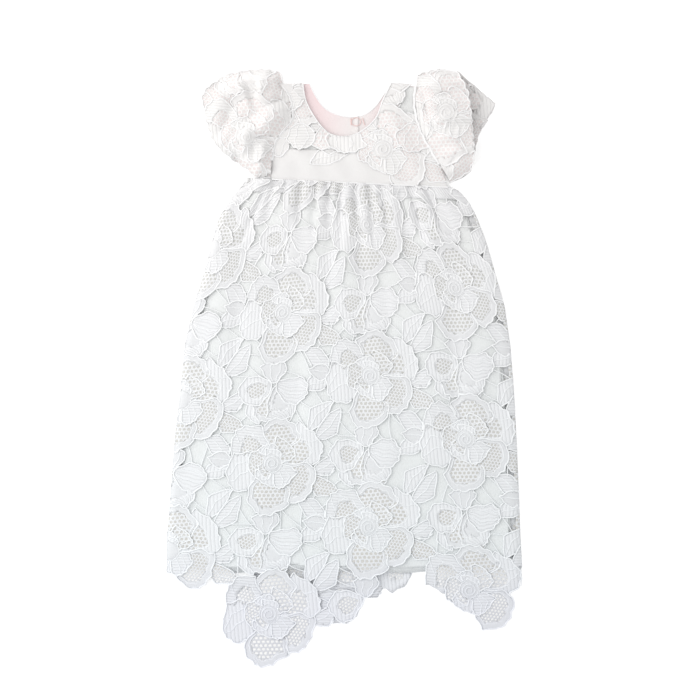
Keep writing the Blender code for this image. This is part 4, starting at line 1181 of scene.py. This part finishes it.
# The cut of each panel, from its outline laid out flat
CUTS = {
    # piece: width, length, area, in metres
    "skirt_front_lace": (0.427, 0.593, 0.2080), "skirt_back_lace": (0.427, 0.547, 0.1960),
    "skirt_front_lining": (0.398, 0.467, 0.1634), "skirt_back_lining": (0.404, 0.473, 0.1669),
    "bodice_front_lace": (0.214, 0.125, 0.0167), "bodice_front_lining": (0.209, 0.122, 0.0152),
    "bodice_back_lace_left": (0.101, 0.119, 0.0087), "bodice_back_lining_left": (0.104, 0.118, 0.0088),
    "bodice_back_lace_right": (0.110, 0.124, 0.0090), "bodice_back_lining_right": (0.109, 0.123, 0.0089),
    "sleeve_left_front_lace": (0.118, 0.142, 0.0121), "sleeve_left_back_lace": (0.108, 0.130, 0.0096),
    "sleeve_right_front_lace": (0.076, 0.145, 0.0080), "sleeve_right_back_lace": (0.097, 0.136, 0.0083),
}
SKIRT_REPEAT = (SKIRT_FOOT, WAIST_Y)
BODICE_REPEAT = (WAIST_Y, SHOULDER_Y, BODICE_SHIFT)
SLEEVE_REPEAT = (WAIST_Y, SHOULDER_Y, SLEEVE_SHIFT)
WHITE = ("white_satin_cloth", "white_satin")

# Skirt
lace_piece("skirt_back_lace", "skirt_lace_back", skirt_ring(back_hem), skirt_bands(),
           SKIRT_REPEAT + (BACK_SHIFT,), 6.0, mapping=on_skirt, lowest=back_hem)
lining("skirt_back_lining", "skirt_lining_back", skirt_ring(None, 0.8 * LINING_INSET, LINING_HEM_Y - 6.0),
       lambda x, y: BACK_SATIN_Z + SATIN + 0.0 * x, *WHITE, "laid", ["skirt_back_lace"], 12.0)
lining("skirt_front_lining", "skirt_lining_front", skirt_ring(None, LINING_INSET, LINING_HEM_Y),
       lambda x, y: satin_under(x, y) + SATIN, *WHITE, "gathered", ["skirt_back_lining"], 3.5)
lace_piece("skirt_front_lace", "skirt_lace_front", skirt_ring(front_hem), skirt_bands(), SKIRT_REPEAT, 3.15,
           lambda x, y: lace_under(x, y) + MIDDLE_OF_LACE, "gathered", ["skirt_front_lining"],
           on_skirt, front_hem)

# Bodice: under the sleeves and over the waist seam it runs on past the solid's edge
front = bodice_ring(FRONT_NECK)
front_shown = moved_in(front, -ARMHOLE_LAP)
neck_at = slice(len(LEFT_ARMHOLE), len(LEFT_ARMHOLE) + len(FRONT_NECK))
front_shown[neck_at] = front[neck_at]
front_shown[-2:] = front[-2:] - (0.0, 1.0)
x = np.linspace(WAIST_LEFT - 4.0, WAIST_RIGHT + 4.0, 70)
seam_line = joined(x, waist(x) - 2.0)
back = bodice_ring(BACK_NECK)
for side, word in ((-1.0, "left"), (1.0, "right")):
    lace_piece("bodice_back_lace_" + word, "bodice_lace_back_" + word,
               cut_at(back, BACK_OPENING_X + 0.5 * side * SEAM, side), [], BODICE_REPEAT, 6.0)
    lapped = cut_at(back, BACK_OPENING_X + (LAP if side < 0.0 else 0.5 * SEAM), side)
    lining("bodice_back_lining_" + word, "bodice_lining_back_" + word, moved_in(lapped, 0.4),
           lambda x, y: BACK_SATIN_Z + SATIN + 0.7 * soft(1.0 - (BACK_OPENING_X + LAP - x) / 7.0)
           * (side < 0.0) + 0.4 * np.sin(0.09 * x + 0.05 * y) ** 2, "pink_satin_cloth", "pale_pink_satin",
           "laid", ["bodice_back_lace_" + word], 2.5)
lining("bodice_front_lining", "bodice_lining_front", moved_in(front, 0.8),
       lambda x, y: FRONT_SATIN_Z + SATIN + bodice_rise(x, y), *WHITE, "laid", ["bodice_back_lining_left"], 3.0)
lace_piece("bodice_front_lace", "bodice_lace_front", front_shown,
           [strip(seam_line + (0.0, BAND_HEIGHT + 22.0), seam_line, "satin")], BODICE_REPEAT, 2.4,
           lambda x, y: FRONT_LACE_Z + bodice_rise(x, y, 1.2) + MIDDLE_OF_LACE, "laid",
           ["bodice_front_lining"], lowest=above_band,
           over=[petal(x, y, turn, length, width, 0.05, PETAL_SIDES, 0.0, x, fill, LAP_LEVEL)
                 for x, y, turn, length, width, fill in BODICE_LAP])

# Sleeves
left_arm = [(x - 0.4, y) for x, y in LEFT_ARMHOLE][::-1]
right_arm = [(x + 0.4, y) for x, y in RIGHT_ARMHOLE][::-1]
left_sleeve, right_front, right_back = (np.concatenate([scalloped(rows), arm]) for rows, arm in (
    (LEFT_SLEEVE, left_arm), (RIGHT_SLEEVE_FRONT, right_arm), (RIGHT_SLEEVE_BACK, right_arm)))
left_rise = sleeve_height(LEFT_SLEEVE, LEFT_ARMHOLE, LEFT_LOBES, LEFT_CREASES)
right_rise = sleeve_height(RIGHT_SLEEVE_FRONT, RIGHT_ARMHOLE, RIGHT_LOBES, RIGHT_CREASES)
for word, ring in (("left", left_sleeve), ("right", right_back)):
    lace_piece("sleeve_%s_back_lace" % word, "sleeve_%s_back" % word, ring, sleeve_band(ring),
               SLEEVE_REPEAT, 5.0)
for word, ring, rise in (("left", left_sleeve, left_rise), ("right", right_front, right_rise)):
    lace_piece("sleeve_%s_front_lace" % word, "sleeve_%s_front" % word, ring, sleeve_band(ring),
               SLEEVE_REPEAT, 2.1, lambda x, y: rise(x, y) + MIDDLE_OF_LACE, "gathered",
               ["sleeve_%s_back_lace" % word])

# Loop at the back opening, with a tack of thread at either side
loop_turns = np.linspace(0.0, 2.0 * math.pi, 16, endpoint=False)
threads = [(joined(BACK_OPENING_X + 5.6 * np.cos(loop_turns), 294.5 + 5.0 * np.sin(loop_turns),
                   FRONT_SATIN_Z + 0.5 * SATIN), True)]
for x0, lean in ((7.6, 0.4), (21.6, 2.6)):
    threads.append((joined(x0 + np.linspace(0.0, lean, 4), np.linspace(299.0, 290.5, 4),
                           BACK_SATIN_Z + SATIN + 1.2), False))
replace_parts(cords("back_loop_cord", threads, 0.5, LOOKS["loop_thread"], "pale_pink_satin"), "back_loop")

# Sewn edges: necks, waist, armholes and the sleeves' scallops
ARMHOLE_Z = FRONT_EDGE_Z + ARM_RISE + 0.3
sewn = [joined(*smooth_line(line).T, z) for line, z in (
    (FRONT_NECK, FRONT_LACE_Z + LACE), (BACK_NECK, BACK_SATIN_Z + SATIN))]
x = np.linspace(WAIST_LEFT, WAIST_RIGHT, 60)
sewn.append(joined(x, waist(x) - 0.7, FRONT_LACE_Z + LACE + 0.3))
for armhole, inwards in ((LEFT_ARMHOLE, 1.0), (RIGHT_ARMHOLE, -1.0)):
    x, y = smooth_line(armhole).T
    wander = 0.5 * np.sin(0.8 * y)
    sewn += [joined(x + wander + moved, y, z)
             for moved, z in ((0.0, ARMHOLE_Z), (1.2 * inwards, ARMHOLE_Z - 1.1))]
for rows, rise in ((LEFT_SLEEVE, left_rise), (RIGHT_SLEEVE_FRONT, right_rise)):
    x, y = scalloped(rows).T
    sewn.append(joined(x, y, rise(x, y) + MIDDLE_OF_LACE + 0.3))
cords("sewn_edges", [(line, False) for line in sewn], SEWN, LOOKS["lace_cord"])

# Floor, light and camera
builder = bmesh.new()
bmesh.ops.create_grid(builder, x_segments=1, y_segments=1, size=6.0)
floor_mesh = bpy.data.meshes.new("floor")
builder.to_mesh(floor_mesh)
builder.free()
floor_mesh.materials.append(new_material("pale_floor", {
    "Base Color": (0.95, 0.95, 0.95, 1.0), "Roughness": 0.9, "Emission Color": (1.0, 1.0, 1.0, 1.0),
    "Emission Strength": 0.3})[0])
floor = new_object("floor", floor_mesh)
floor.location.z = -0.0005

world = bpy.data.worlds.new("studio")
world.use_nodes = True
world.node_tree.nodes["Background"].inputs["Color"].default_value = (1.0, 1.0, 1.0, 1.0)
world.node_tree.nodes["Background"].inputs["Strength"].default_value = 0.825
bpy.context.scene.world = world
for name, location, size, energy, colour in (
    ("window_light", (-1.25, 0.8, 1.15), 1.6, 13.5, (1.0, 0.985, 0.97)),
    ("side_light", (-0.8, -0.2, 0.7), 0.9, 1.7, (1.0, 1.0, 1.0)),
):
    light = bpy.data.lights.new(name, "AREA")
    light.size, light.energy, light.color = size, energy, colour
    lamp = new_object(name, light)
    lamp.location = location
    lamp.rotation_euler = (-lamp.location).to_track_quat("-Z", "Y").to_euler()

CAMERA_HEIGHT = 3.0
PHOTO_WIDTH = 0.840         # of the surface, in metres
PHOTO_MIDDLE = (6.6, 21.0, 0.0)
camera = bpy.data.cameras.new("camera")
camera.sensor_width = 36.0
camera.lens = camera.sensor_width * CAMERA_HEIGHT / PHOTO_WIDTH
eye = new_object("camera", camera)
eye.location = (*place(PHOTO_MIDDLE)[:2], CAMERA_HEIGHT)
bpy.context.scene.camera = eye
bpy.context.scene.view_settings.view_transform = "Standard"
